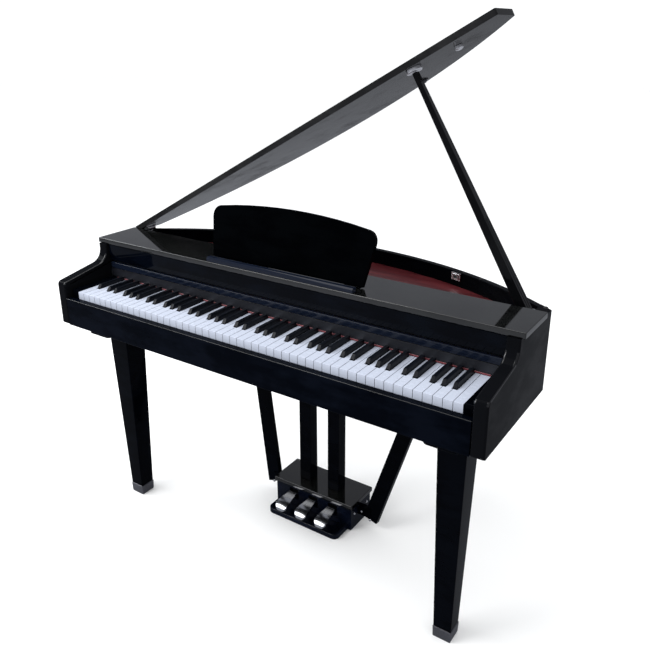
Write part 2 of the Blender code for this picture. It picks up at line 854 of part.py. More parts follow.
def key_cover():
    """The sliding cover: a front rail and a thin sheet that runs in the sides' grooves."""
    axis = new_empty("cover_slide", (0, COVER_RAIL_FRONT, COVER_RAIL_LOW), FRAME)
    half = SIDE_FACE - COVER_RAIL_CLEAR
    low = (-half, COVER_RAIL_FRONT, COVER_RAIL_LOW)
    high = (half, COVER_RAIL_FRONT + COVER_RAIL_DEPTH, COVER_RAIL_LOW + COVER_RAIL_TALL)
    box("key_cover_rail", low, high, SATIN_BLUE, axis, edge=0.0015)
    front = COVER_RAIL_FRONT + COVER_RAIL_DEPTH + GAP
    reach = SIDE_FACE + COVER_IN_GROOVE
    slanted_bar("key_cover_sheet", front, COVER_BACK, reach, COVER_SHEET, DARK_STRIP, axis)


def desk_axis():
    """The Y and Z of the line that the music desk folds back about, at the back of its foot."""
    return DESK_FOOT_Y + DESK_SHEET * math.cos(DESK_LEAN), BOARD_TOP + DESK_HINGE_PIN + 2 * GAP


def music_desk():
    """The desk leans back on its hinges, with a recess behind its foot for each of them."""
    shoulder = DESK_TALL - DESK_CROWN
    crown = []
    steps = 10
    for i in range(1, steps):
        share = DESK_CROWN_SPAN * (1 - 2 * i / steps)
        crown.append((DESK_HALF_WAIST * share, shoulder + DESK_CROWN * (1 - share**2)))
    corners = [
        (DESK_HALF_FOOT, 0.0, DESK_FOOT_CORNER),
        (DESK_HALF_WAIST, DESK_WAIST),
        (DESK_HALF_WAIST + DESK_FLARE, shoulder, DESK_CORNER),
        *crown,
        (-DESK_HALF_WAIST - DESK_FLARE, shoulder, DESK_CORNER),
        (-DESK_HALF_WAIST, DESK_WAIST),
        (-DESK_HALF_FOOT, 0.0, DESK_FOOT_CORNER),
    ]
    axis_y, axis_z = desk_axis()
    axis = new_empty("desk_hinge_axis", (0, axis_y, axis_z), FRAME)
    lean = (math.radians(90) - DESK_LEAN, 0.0, 0.0)
    spot_y = axis_y - DESK_SHEET / 2 * math.cos(DESK_LEAN)
    spot = (MUSIC_X, spot_y, axis_z + DESK_SHEET / 2 * math.sin(DESK_LEAN))
    desk = flat("music_desk", [rounded(corners)], DESK_SHEET, LACQUER, spot, lean, axis)
    soften(desk, DESK_EDGE, 1)
    wide = 2 * (DESK_HINGE_HALF + RUNNING)
    tall = 2 * (DESK_HINGE_LEAF + RUNNING)
    deep = 2 * (DESK_HINGE_PIN + GAP)
    for name, hand in (("left", -1), ("right", 1)):
        recess = new_object(f"desk_recess_{name}", box_mesh("desk_recess", (wide, tall, deep)))
        place(recess, LACQUER, (MUSIC_X + hand * DESK_HINGE_X, axis_y, axis_z), lean)
        boolean(desk, make_cutter(recess), "DIFFERENCE")


def lid_point(along, above, y):
    """A place on the open lid: along it from its hinge axis, and above its underside."""
    cos = math.cos(LID_ANGLE)
    sin = math.sin(LID_ANGLE)
    return (LID_AXIS_X + along * cos - above * sin, y, BOARD_LOW + along * sin + above * cos)


def lid():
    """The bow-backed lid, propped open on the hinge along its short left edge."""
    axis = new_empty("lid_hinge_axis", (LID_AXIS_X, 0, BOARD_LOW), FRAME)
    back = CASE_BACK + LID_REACH
    front = TOP_BACK + LID_JOINT
    line = [point for point in bow_line(back, CASE_HALF) if abs(point[0]) < LID_HALF]
    corners = [
        (-LID_HALF, front, LID_ROUND),
        (LID_HALF, front, LID_ROUND),
        (LID_HALF, back - bow(LID_HALF), LID_CORNER),
        *line,
        (-LID_HALF, back - bow(LID_HALF), LID_CORNER),
    ]
    outline = [(x - LID_AXIS_X, y) for x, y in rounded(corners)]
    panel = flat("lid", [outline], BOARD, LACQUER, lid_point(0, BOARD / 2, 0), OPEN_LID, axis)
    soften(panel, LID_EDGE, 2, 60.0)
    knob = [(0.0, 0.0), (KNOB_RADIUS, 0.0), *dome(KNOB_RADIUS, KNOB_TALL, KNOB_STRAIGHT)]
    turned("lid_knob", knob, RUBBER, lid_point(KNOB_ALONG, -GAP, KNOB_Y), OPEN_LID, 20, axis)
    cup = [
        (0.0, 0.0),
        (CUP_RADIUS, 0.0),
        (CUP_RADIUS, CUP_WALL - CUP_TALL),
        (CUP_RADIUS - CUP_WALL, -CUP_TALL),
        (CUP_RADIUS - 2 * CUP_WALL, -CUP_TALL),
        (CUP_RADIUS - 3 * CUP_WALL, CUP_DISH - CUP_TALL),
        (0.0, CUP_DISH - CUP_TALL),
    ]
    turned("prop_cup", cup, CHROME, lid_point(prop_along(), -GAP, PROP_Y), OPEN_LID, 28, axis)


def dome(radius, height, straight, steps=5):
    """The lower profile of a knob: a straight wall and a round end, hanging down from Z = 0."""
    points = []
    for i in range(steps + 1):
        angle = math.radians(90 * i / steps)
        drop = height * (straight + (1 - straight) * math.sin(angle))
        points.append((radius * math.cos(angle), -drop))
    points[-1] = (0.0, -height)
    return points


def lid_hinge():
    """A chrome butt hinge: a leaf and two knuckles on the side, a leaf and one knuckle on the lid."""
    axis = bpy.data.objects["lid_hinge_axis"]
    middle = (HINGE_START + HINGE_END) / 2
    third = (HINGE_END - HINGE_START) / 3
    skin = -CASE_HALF - GAP
    base = box(
        "lid_hinge_base",
        (skin - HINGE_LEAF, HINGE_START, CASE_TOP - HINGE_WIDE),
        (skin, HINGE_END, CASE_TOP - GAP),
        CHROME,
    )
    for name, y in (("front", middle - third), ("back", middle + third)):
        spot = (LID_AXIS_X, y, BOARD_LOW)
        knuckle = drum(f"hinge_knuckle_{name}", HINGE_KNUCKLE, third, CHROME, spot, UPRIGHT, 12)
        boolean(base, make_cutter(knuckle), "UNION")
    notch = box(
        "hinge_notch",
        (LID_AXIS_X - HINGE_KNUCKLE, middle - third / 2, BOARD_LOW - HINGE_KNUCKLE - GAP),
        (LID_AXIS_X + 2 * HINGE_KNUCKLE, middle + third / 2, BOARD_LOW + HINGE_KNUCKLE),
        CHROME,
    )
    boolean(base, make_cutter(notch), "DIFFERENCE")
    spot = (LID_AXIS_X, middle, BOARD_LOW)
    pin = drum("hinge_pin", HINGE_PIN, 3 * third - 2 * BAR_LAP, CHROME, spot, UPRIGHT, 12)
    boolean(base, make_cutter(pin), "UNION")
    half = (third - RUNNING) / 2
    outline = [(-HINGE_LEAF, -half), (0.0, -half), (0.0, half), (-HINGE_LEAF, half)]
    spot = lid_point(LID_HINGE_OUT - GAP, BOARD / 2 - BAR_LAP, middle)
    leaf = flat("lid_hinge_leaf", [outline], BOARD - 2 * BAR_LAP, CHROME, spot, OPEN_LID, axis)
    spot = (LID_AXIS_X, middle, BOARD_LOW)
    barrel = drum("hinge_barrel", HINGE_KNUCKLE, 2 * half + GAP, CHROME, spot, UPRIGHT, 12)
    bore = drum("hinge_bore", HINGE_PIN + GAP, 2 * third, CHROME, spot, UPRIGHT, 12)
    boolean(leaf, make_cutter(barrel), "UNION")
    boolean(leaf, make_cutter(bore), "DIFFERENCE")


def pin_to_lid():
    """The square distance from the prop's pin to the open lid's underside."""
    return (PROP_X - LID_AXIS_X) * math.sin(LID_ANGLE) - (PROP_Z - BOARD_LOW) * math.cos(LID_ANGLE)


def prop_along():
    """How far along the lid the prop meets it."""
    square = (PROP_X - LID_AXIS_X) * math.cos(LID_ANGLE) + (PROP_Z - BOARD_LOW) * math.sin(LID_ANGLE)
    return square - pin_to_lid() * math.tan(PROP_LEAN - LID_ANGLE)


def prop_length():
    """From the prop's pin to its tip, just short of the cup."""
    skew = PROP_LEAN - LID_ANGLE
    reach = (pin_to_lid() - CUP_TALL - 2 * GAP) / math.cos(skew)
    return reach - PROP_WIDE * PROP_TIP_SHARE * abs(math.tan(skew))


def prop():
    """The prop stands on a pin between the ears of its bracket and tapers both ways to its tip."""
    axis = new_empty("prop_axis", (PROP_X, PROP_Y, PROP_Z), FRAME)
    half = PROP_WIDE / 2
    heel = []
    for i in range(11):
        angle = math.radians(90 + 180 * i / 10)
        heel.append((half * math.cos(angle), half * math.sin(angle)))
    length = prop_length()
    slim = half * PROP_TIP_SHARE
    tip = [(length, -slim, PROP_TIP_ROUND), (length, slim, PROP_TIP_ROUND)]
    outline = rounded([*heel, *tip], 3)
    bore = circle(0, 0, PROP_PIN + GAP, 16)
    lean = (math.radians(90), math.radians(-90) - PROP_LEAN, 0.0)
    spot = (PROP_X, PROP_Y, PROP_Z)
    stick = flat("prop", [outline, bore], PROP_DEEP, LACQUER, spot, lean, axis)
    for vertex in stick.data.vertices:
        share = min(max(vertex.co.x / length, 0.0), 1.0)
        vertex.co.z *= 1.0 - (1.0 - PROP_TIP_SHARE) * share

    def is_long_edge(at, way):
        side = half * (1.0 - (1.0 - PROP_TIP_SHARE) * at.x / length)
        return abs(way.x) > 1.0 - EDGE_LEVEL and at.x > half and abs(abs(at.y) - side) < GAP

    soften_some(stick, PROP_EDGE, 1, is_long_edge)
    for name, side in (("front", -1), ("back", 1)):
        size = (PROP_GROOVE_LENGTH, 2 * PROP_GROOVE_DEEP, PROP_GROOVE_WIDE)
        shift = (half + PROP_GROOVE_LENGTH / 2, -half, side * PROP_GROOVE_OUT)
        prop_cut(stick, f"prop_groove_{name}", size, spot, lean, shift)
    size = (PROP_NOTCH, PROP_NOTCH, 2 * PROP_DEEP)
    prop_cut(stick, "prop_notch", size, spot, lean, (half + PROP_GROOVE_LENGTH, -half, 0.0))
    prop_bracket()


def prop_cut(stick, name, size, spot, lean, shift):
    """Cuts a box out of the prop, at a place given along it, across it and through it."""
    cutter = place(new_object(name, box_mesh(name, size)), LACQUER, spot, lean)
    cutter.matrix_world = cutter.matrix_world @ Matrix.Translation(Vector(shift))
    boolean(stick, make_cutter(cutter), "DIFFERENCE")


def prop_bracket():
    """A steel U on the soundboard, with the pin that the prop turns on."""
    inner = PROP_DEEP / 2 + RUNNING
    outer = inner + EAR_SHEET
    low = SOUNDBOARD_TOP + GAP
    bracket = box(
        "prop_bracket",
        (PROP_X - BRACKET_HALF, PROP_Y - outer, low),
        (PROP_X + BRACKET_HALF, PROP_Y + outer, PROP_Z + EAR_RISE),
        PRESSED_STEEL,
    )
    space = box(
        "bracket_space",
        (PROP_X - 2 * BRACKET_HALF, PROP_Y - inner, low + EAR_SHEET),
        (PROP_X + 2 * BRACKET_HALF, PROP_Y + inner, PROP_Z + 2 * EAR_RISE),
        PRESSED_STEEL,
    )
    spot = (PROP_X, PROP_Y, PROP_Z)
    pin = drum("prop_pin", PROP_PIN, 2 * (outer - BAR_LAP), PRESSED_STEEL, spot, UPRIGHT, 16)
    boolean(bracket, make_cutter(space), "DIFFERENCE")
    boolean(bracket, make_cutter(pin), "UNION")


def ledge():
    """The ribbed strip that the sheets stand on, in front of the desk."""
    low = BOARD_TOP + GAP
    points = [(LEDGE_FRONT + LEDGE_DEPTH, low), (LEDGE_FRONT + LEDGE_DEPTH, low + LEDGE_TALL)]
    steps = 4 * LEDGE_RIBS
    flat_length = LEDGE_DEPTH - LEDGE_ROUND
    for i in range(1, steps + 1):
        share = i / steps
        dip = LEDGE_RIB_DEEP * (1 - math.cos(math.tau * LEDGE_RIBS * share)) / 2
        points.append((LEDGE_FRONT + LEDGE_DEPTH - flat_length * share, low + LEDGE_TALL - dip))
    points += [(LEDGE_FRONT, low + LEDGE_TALL - LEDGE_ROUND), (LEDGE_FRONT, low)]
    flat("music_ledge", [points], 2 * LEDGE_HALF, SATIN_BLUE, (MUSIC_X, 0, 0), SIDEWAYS)


def desk_hinges():
    """Two low hinges behind the desk's foot, each a plate with a knuckle along its front."""
    y, z = desk_axis()
    low = BOARD_TOP + GAP
    for name, hand in (("desk_hinge_left", -1), ("desk_hinge_right", 1)):
        centre = MUSIC_X + hand * DESK_HINGE_X
        plate = box(
            name,
            (centre - DESK_HINGE_HALF, y - DESK_HINGE_PIN / 2, low),
            (centre + DESK_HINGE_HALF, y + DESK_HINGE_LEAF, low + HINGE_LEAF),
            CHROME,
        )
        turn = (0.0, math.radians(90), 0.0)
        length = 2 * (DESK_HINGE_HALF - BAR_LAP)
        knuckle = drum(f"{name}_knuckle", DESK_HINGE_PIN, length, CHROME, (centre, y, z), turn, 12)
        boolean(plate, make_cutter(knuckle), "UNION")


def frustum(name, low_half, high_half, low_z, high_z, x, y, finish, edge):
    """A square post that tapers between two heights."""
    mesh = box_mesh(name, (2 * high_half, 2 * high_half, high_z - low_z))
    for vertex in mesh.vertices:
        if vertex.co.z < 0:
            vertex.co.x *= low_half / high_half
            vertex.co.y *= low_half / high_half
    obj = new_object(name, mesh)
    soften(obj, edge, 2)
    return place(obj, finish, (x, y, (low_z + high_z) / 2))


def legs():
    """Two tapered legs, each under a plate and standing in a metal cap."""
    plate_top = CASE_BOTTOM - GAP
    plate_low = plate_top - LEG_PLATE
    half = LEG_PLATE_LENGTH / 2
    plan = rounded(
        [
            (-LEG_PLATE_HALF, -half, LEG_PLATE_ROUND),
            (LEG_PLATE_HALF, -half, LEG_PLATE_ROUND),
            (LEG_PLATE_HALF, half, LEG_PLATE_ROUND),
            (-LEG_PLATE_HALF, half, LEG_PLATE_ROUND),
        ],
        3,
    )
    for name, hand in (("left", -1), ("right", 1)):
        x = hand * LEG_X
        spot = (x, LEG_Y, plate_low + LEG_PLATE / 2)
        flat(f"leg_plate_{name}", [plan], LEG_PLATE, LACQUER, spot)
        foot = LEG_HALF_FOOT
        top = plate_low - GAP
        frustum(f"leg_{name}", foot, LEG_HALF_TOP, LEG_CAP_TALL + GAP, top, x, LEG_Y, LACQUER, LEG_EDGE)
        wide = foot + LEG_CAP_LIP
        frustum(
            f"leg_cap_{name}", wide - LEG_CAP_LIP, wide, 0.0, LEG_CAP_TALL, x, LEG_Y, STEEL, LEG_CAP_EDGE
        )


def tray_plan(front, half, back, corner):
    return rounded([(-half, front, corner), (half, front, corner), (half, back), (-half, back)], 5)


def pedal_box():
    """An open box with a pedal slot for each pedal, the pedals' axle, its top board and its tray."""
    inner = TRAY_HALF + GAP
    half = inner + BOX_WALL
    back = BOX_BACK - BOX_WALL
    outer = [(-half, BOX_FRONT), (half, BOX_FRONT), (half, BOX_BACK), (-half, BOX_BACK)]
    front = BOX_FRONT + BOX_WALL
    hollow = [(-inner, front), (inner, front), (inner, back), (-inner, back)]
    walls = flat("pedal_box", [outer, hollow], BOX_TOP, LACQUER, (0, 0, BOX_TOP / 2))
    notch = box(
        "tray_notch",
        (-inner, BOX_FRONT - BOX_WALL, -BOX_WALL),
        (inner, front + BOX_WALL, TRAY_FLOOR + GAP),
        LACQUER,
    )
    boolean(walls, make_cutter(notch), "DIFFERENCE")
    for i in (-1, 0, 1):
        x = i * PEDAL_PITCH
        slot = box(
            f"pedal_slot_{i + 2}",
            (x - SLOT_HALF, BOX_FRONT - BOX_WALL, SLOT_LOW),
            (x + SLOT_HALF, front + BOX_WALL, SLOT_HIGH),
            LACQUER,
        )
        boolean(walls, make_cutter(slot), "DIFFERENCE")
    turn = (0.0, math.radians(90), 0.0)
    spot = (0, PEDAL_AXIS_Y, PEDAL_AXIS_Z)
    axle = drum("pedal_axle", PEDAL_PIN, 2 * inner + BOX_WALL, LACQUER, spot, turn, 16)
    boolean(walls, make_cutter(axle), "UNION")
    reach = half + BOX_LID_REACH
    low = (-reach, BOX_FRONT - BOX_LID_REACH, BOX_TOP + GAP)
    high = (reach, BOX_BACK + BOX_LID_REACH, BOX_TOP + GAP + BOX_LID)
    box("pedal_box_top", low, high, LACQUER, edge=0.003)
    pedal_tray(back - GAP)


def pedal_tray(back):
    """The base under the pedals, with a raised rim in front of the box."""
    plan = tray_plan(TRAY_FRONT, TRAY_HALF, back, TRAY_CORNER)
    tray = flat("pedal_tray", [plan], TRAY_RIM, LACQUER, (0, 0, TRAY_RIM / 2))
    inside = TRAY_HALF - TRAY_RIM_WALL
    corner = TRAY_CORNER - TRAY_RIM_WALL
    well = tray_plan(TRAY_FRONT + TRAY_RIM_WALL, inside, BOX_BACK, corner)
    height = 2 * (TRAY_RIM - TRAY_FLOOR)
    pocket = flat("tray_well", [well], height, LACQUER, (0, 0, TRAY_FLOOR + height / 2))
    behind = box(
        "tray_behind",
        (-TRAY_HALF - BOX_WALL, BOX_FRONT - GAP, TRAY_FLOOR),
        (TRAY_HALF + BOX_WALL, BOX_BACK + BOX_WALL, 2 * TRAY_RIM),
        LACQUER,
    )
    boolean(tray, make_cutter(pocket), "DIFFERENCE")
    boolean(tray, make_cutter(behind), "DIFFERENCE")


def pedal_profile():
    """A pedal from the side: the blade slopes down to its tip, the arm runs level to the axle."""
    heel_y = PEDAL_AXIS_Y + 2 * PEDAL_PIN
    return rounded(
        [
            (PEDAL_TIP_Y, PEDAL_TIP_Z - PEDAL_SHEET, PEDAL_EDGE_ROUND),
            (PEDAL_NECK_Y, PEDAL_NECK_Z - PEDAL_SHEET, PEDAL_WAIST_ROUND),
            (heel_y, PEDAL_AXIS_Z - 2 * PEDAL_PIN, PEDAL_STEP_ROUND),
            (heel_y, PEDAL_AXIS_Z + 2 * PEDAL_PIN, PEDAL_STEP_ROUND),
            (PEDAL_NECK_Y, PEDAL_NECK_Z, PEDAL_WAIST_ROUND),
            (PEDAL_TIP_Y, PEDAL_TIP_Z, PEDAL_EDGE_ROUND),
        ],
        4,
    )


def pedal_plan():
    """A pedal from above: a round wide tip, a narrow neck and a straight arm."""
    tip = PEDAL_TIP_HALF
    neck = PEDAL_NECK_HALF
    arm = PEDAL_ARM_HALF
    back = PEDAL_AXIS_Y + 4 * PEDAL_PIN
    wide_y = PEDAL_TIP_Y + PEDAL_TIP_LENGTH
    step = PEDAL_STEP_ROUND
    return rounded(
        [
            (-tip, PEDAL_TIP_Y, PEDAL_TIP_ROUND),
            (tip, PEDAL_TIP_Y, PEDAL_TIP_ROUND),
            (tip, wide_y, PEDAL_WAIST_ROUND / 2),
            (neck, PEDAL_NECK_Y, PEDAL_WAIST_ROUND),
            (neck, BOX_FRONT + BOX_WALL, step),
            (arm, BOX_FRONT + 2 * BOX_WALL, step),
            (arm, back),
            (-arm, back),
            (-arm, BOX_FRONT + 2 * BOX_WALL, step),
            (-neck, BOX_FRONT + BOX_WALL, step),
            (-neck, PEDAL_NECK_Y, PEDAL_WAIST_ROUND),
            (-tip, wide_y, PEDAL_WAIST_ROUND / 2),
        ],
        5,
    )


def pedals():
    for i, name in ((-1, "pedal_left"), (0, "pedal_middle"), (1, "pedal_right")):
        x = i * PEDAL_PITCH
        axis = new_empty(f"{name}_axis", (x, PEDAL_AXIS_Y, PEDAL_AXIS_Z), FRAME)
        blade = flat(
            name, [pedal_profile()], 4 * PEDAL_TIP_HALF, CHROME, (x, 0, 0), SIDEWAYS, axis
        )
        plan = flat(f"{name}_plan", [pedal_plan()], 4 * BOX_TOP, CHROME, (x, 0, 0))
        boolean(blade, make_cutter(plan), "INTERSECT")
        turn = (0.0, math.radians(90), 0.0)
        spot = (x, PEDAL_AXIS_Y, PEDAL_AXIS_Z)
        bore = drum(f"{name}_bore", PEDAL_PIN + GAP, 6 * PEDAL_ARM_HALF, CHROME, spot, turn, 16)
        boolean(blade, make_cutter(bore), "DIFFERENCE")


def lyre():
    """Two posts under a head plate, which hold the pedal box to the case."""
    top = CASE_BOTTOM - GAP
    head = box(
        "lyre",
        (-LYRE_HEAD_HALF, POST_FRONT - LYRE_HEAD_REACH, top - LYRE_HEAD),
        (LYRE_HEAD_HALF, POST_BACK + LYRE_HEAD_REACH, top),
        LACQUER,
    )
    low = BOX_TOP + BOX_LID + 2 * GAP
    for name, hand in (("left", -1), ("right", 1)):
        x = hand * POST_X
        post = box(
            f"lyre_post_{name}",
            (x - POST_HALF_X, POST_FRONT, low),
            (x + POST_HALF_X, POST_BACK, top - LYRE_HEAD / 2),
            LACQUER,
        )
        boolean(head, make_cutter(post), "UNION")


def struts():
    """Two flat braces from the sides of the pedal box up to the case, each with its bracket block."""
    box_side = TRAY_HALF + GAP + BOX_WALL
    for name, hand in (("strut_left", -1), ("strut_right", 1)):
        foot = Vector((hand * STRUT_FOOT_X, STRUT_FOOT_Y, STRUT_FOOT_Z))
        head = Vector((hand * STRUT_HEAD_X, STRUT_HEAD_Y, CASE_BOTTOM))
        along = head - foot
        length = along.length + STRUT_WIDE
        mesh = box_mesh(name, (STRUT_WIDE, STRUT_DEEP, length))
        strut = place(new_object(name, mesh), LACQUER, (0, 0, 0))
        up = along.normalized()
        wide = (Vector((1, 0, 0)) - up * up.x).normalized()
        deep = up.cross(wide)
        axes = Matrix((wide, deep, up)).transposed().to_4x4()
        middle = foot + up * (length / 2)
        strut.matrix_world = FRAME.matrix_world @ Matrix.Translation(middle) @ axes
        above = box(
            f"{name}_trim",
            (min(0, hand), 0, CASE_BOTTOM - GAP),
            (max(0, hand), 1, CASE_TOP),
            LACQUER,
        )
        near = hand * (box_side + GAP)
        far = hand * STRUT_FOOT_X
        bracket = box(
            f"{name}_bracket",
            (min(near, far), STRUT_FOOT_Y - STRUT_DEEP / 2 + BAR_LAP, STRUT_BRACKET_LOW),
            (max(near, far), STRUT_FOOT_Y + STRUT_DEEP / 2 + BAR_LAP, STRUT_BRACKET_LOW + STRUT_BRACKET),
            LACQUER,
        )
        boolean(strut, make_cutter(above), "DIFFERENCE")
        boolean(strut, make_cutter(bracket), "UNION")


def rim_catch():
    """The chrome catch on the rim's inner face that the lid closes on."""
    slope = (bow(CATCH_X + 1e-5) - bow(CATCH_X - 1e-5)) / 2e-5
    turn = -math.atan(slope)
    inner = bow_at(CATCH_X, CASE_BACK, REAR_WALL + 2 * GAP)
    size = (2 * CATCH_HALF, CATCH_SHEET, CATCH_TALL)
    catch = new_object("rim_catch", box_mesh("rim_catch", size))
    soften(catch, CATCH_EDGE, 1)
    shift = Matrix.Rotation(turn, 3, "Z") @ Vector((0, -CATCH_SHEET / 2, 0))
    spot = Vector((CATCH_X, inner, CASE_TOP - CATCH_TALL / 2 - CATCH_DROP)) + shift
    place(catch, CHROME, spot, (0.0, 0.0, turn))


def speakers():
    """A driver over each hole in the bottom board: flange, basket and magnet in one turned form."""
    cone = [
        (0.0, SPEAKER_TALL),
        (0.45 * SPEAKER_FLANGE, SPEAKER_TALL),
        (0.45 * SPEAKER_FLANGE, 0.60 * SPEAKER_TALL),
        (0.55 * SPEAKER_FLANGE, 0.55 * SPEAKER_TALL),
        (0.90 * SPEAKER_FLANGE, 0.10 * SPEAKER_TALL),
        (SPEAKER_FLANGE, 0.10 * SPEAKER_TALL),
        (SPEAKER_FLANGE, 0.0),
        (0.80 * SPEAKER_FLANGE, 0.0),
        (0.25 * SPEAKER_FLANGE, 0.42 * SPEAKER_TALL),
        (0.0, 0.36 * SPEAKER_TALL),
    ]
    for name, hand in (("speaker_left", -1), ("speaker_right", 1)):
        turned(name, cone, SPEAKER_BLACK, (hand * SPEAKER_X, SPEAKER_Y, FLOOR_TOP + GAP))


def main_board():
    """The circuit board on its four stand-offs, with its largest blocks."""
    low = FLOOR_TOP + GAP + CIRCUIT_LIFT
    board = box(
        "main_board",
        (-CIRCUIT_HALF_X, CIRCUIT_FRONT, low),
        (CIRCUIT_HALF_X, CIRCUIT_FRONT + CIRCUIT_DEPTH, low + CIRCUIT_SHEET),
        CIRCUIT_GREEN,
    )
    inset = CIRCUIT_POST_INSET
    tall = CIRCUIT_LIFT + CIRCUIT_SHEET / 2
    for i, (x, y) in enumerate(((-1, 0), (1, 0), (-1, 1), (1, 1))):
        spot = (
            x * (CIRCUIT_HALF_X - inset),
            CIRCUIT_FRONT + inset + y * (CIRCUIT_DEPTH - 2 * inset),
            FLOOR_TOP + GAP + tall / 2,
        )
        post = drum(f"standoff_{i + 1}", CIRCUIT_POST, tall, CIRCUIT_GREEN, spot, LEVEL, 10)
        boolean(board, make_cutter(post), "UNION")
    top = low + CIRCUIT_SHEET
    for i, (x, y, size) in enumerate(CIRCUIT_BLOCKS):
        block = box(
            f"circuit_block_{i + 1}",
            (x - size / 2, CIRCUIT_FRONT + y - size / 3, top - CIRCUIT_SHEET / 2),
            (x + size / 2, CIRCUIT_FRONT + y + size / 3, top + size / 3),
            CIRCUIT_GREEN,
        )
        boolean(board, make_cutter(block), "UNION")


def build():
    case_sides()
    case_boards()
    soundboard_and_rail()
    keyboard()
    felt_and_strip()
    key_cover()
    music_desk()
    ledge()
    desk_hinges()
    lid()
    lid_hinge()
    prop()
    legs()
    pedal_box()
    pedals()
    lyre()
    struts()
    rim_catch()
    speakers()
    main_board()


clear_scene()
PARTS = new_collection("digital_grand_piano")
CUTTERS = new_collection("cutters")
FRAME = new_empty("piano_frame", (0.0, -MIDDLE_Y, 0.0))
LACQUER = material("black_lacquer", (0.006, 0.006, 0.008), 0.08)
CRIMSON = material("crimson_soundboard", (0.16, 0.02, 0.02), 0.45)
BARE_WOOD = material("bare_wood", (0.45, 0.30, 0.18), 0.6)
PRESSED_STEEL = material("pressed_steel", (0.55, 0.56, 0.58), 0.4, 1.0)
IVORY = material("white_key_plastic", (0.85, 0.85, 0.84), 0.25)
EBONY = material("black_key_plastic", (0.02, 0.02, 0.022), 0.45)
RED_FELT = material("red_felt", (0.30, 0.02, 0.03), 0.95)
DARK_STRIP = material("dark_strip", (0.02, 0.02, 0.024), 0.6)
CHROME = material("chrome", (0.75, 0.75, 0.76), 0.12, 1.0)
STEEL = material("brushed_steel", (0.42, 0.42, 0.43), 0.35, 1.0)
RUBBER = material("black_rubber", (0.02, 0.02, 0.02), 0.7)
SPEAKER_BLACK = material("speaker_black", (0.03, 0.03, 0.03), 0.6)
CIRCUIT_GREEN = material("circuit_green", (0.03, 0.18, 0.08), 0.5)
SATIN_BLUE = material("satin_blue_black", (0.03, 0.035, 0.045), 0.35)
build()
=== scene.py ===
"""Digital grand piano in black lacquer: its finishes, softened edges and small fittings."""

import json
import math

import bpy
from mathutils import Euler, Matrix, Vector


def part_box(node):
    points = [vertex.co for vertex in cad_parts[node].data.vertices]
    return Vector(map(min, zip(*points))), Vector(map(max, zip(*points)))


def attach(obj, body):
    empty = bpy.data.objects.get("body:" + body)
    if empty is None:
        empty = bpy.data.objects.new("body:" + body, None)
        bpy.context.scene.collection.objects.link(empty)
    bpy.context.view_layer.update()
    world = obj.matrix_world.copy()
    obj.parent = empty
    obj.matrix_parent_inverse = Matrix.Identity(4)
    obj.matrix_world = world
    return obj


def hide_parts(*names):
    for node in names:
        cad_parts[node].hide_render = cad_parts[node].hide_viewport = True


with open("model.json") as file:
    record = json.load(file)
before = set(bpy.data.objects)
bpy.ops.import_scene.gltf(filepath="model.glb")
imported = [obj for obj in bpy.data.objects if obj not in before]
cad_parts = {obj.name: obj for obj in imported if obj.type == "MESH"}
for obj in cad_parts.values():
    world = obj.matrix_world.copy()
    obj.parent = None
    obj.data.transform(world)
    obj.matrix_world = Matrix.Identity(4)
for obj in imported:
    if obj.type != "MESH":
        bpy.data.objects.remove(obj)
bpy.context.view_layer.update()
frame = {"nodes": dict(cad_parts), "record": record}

# All lengths are metres

# The camera, with its turn in degrees
CAMERA_PLACE = (1.1013, -1.5348, 1.4598)
CAMERA_TURN = (70.038, 0.1284, 33.8224)
CAMERA_LENS = 39.525
CAMERA_SENSOR = 36.0
CAMERA_SHIFT = (-0.0021, -0.0534)
CAMERA_REACH = 60.0

# The studio: colours as the eye sees them and as lacquer mirrors them
FLOOR_SIZE = 40.0
FLOOR_SEEN = (0.97, 0.97, 0.97)
FLOOR_MIRRORED = (0.30, 0.31, 0.34)
ROOM_SEEN = (0.98, 0.99, 1.0)
ROOM_MIRRORED = (0.29, 0.30, 0.33)
ROOM_STRENGTH = 1.12
SOFT_BOXES = (
    # name, place, what it faces, size, power, colour
    ("overhead_box", (-0.6, -0.4, 3.6), (0, 0, 0.7), (2.6, 2.0), 48.0, (1.0, 1.0, 1.0)),
    ("left_box", (-3.0, -1.0, 2.6), (0, 0, 0.8), (1.2, 1.2), 48.0, (0.95, 0.98, 1.0)),
    ("front_box", (-1.6, -2.1, 2.4), (0, 0, 0.1), (1.6, 1.2), 46.0, (1.0, 1.0, 1.0)),
)

# The open lid's slope, and the axis that it turns about
LID_ANGLE = math.radians(28.7)
LID_AXIS = Vector((-0.676, 0.0, 0.844))

# The lid's catch: its place along the lid and in depth. WORKING_MIDDLE is the middle of the
# source's own depths, which is the frame's zero.
WORKING_MIDDLE = 0.29855
CATCH_ALONG = 1.026
CATCH_Y = 0.534 - WORKING_MIDDLE

# The ornate hinge: its leaves (half length, half width, thickness), its depth under the lid, its
# place on the case, and what repeats on it
UPPER_LEAF = (0.0215, 0.0190, 0.0036)
LOWER_LEAF = (0.0135, 0.0180, 0.0026)
HINGE_Y = 0.026
HINGE_BASE = Vector((-0.6560, 0.0310, 0.8450))
STRAP_SIZE = (0.018, 0.0055, 0.0016)
HINGE_STRAPS = (0.018, 0.043)
BARREL_RADIUS = 0.0044
HINGE_GROOVES = (-0.0060, 0.0060)
HINGE_SCREWS_ALONG = (0.027, 0.042, 0.057)
HINGE_SCREWS_Y = (0.0170, 0.0310, 0.0450)

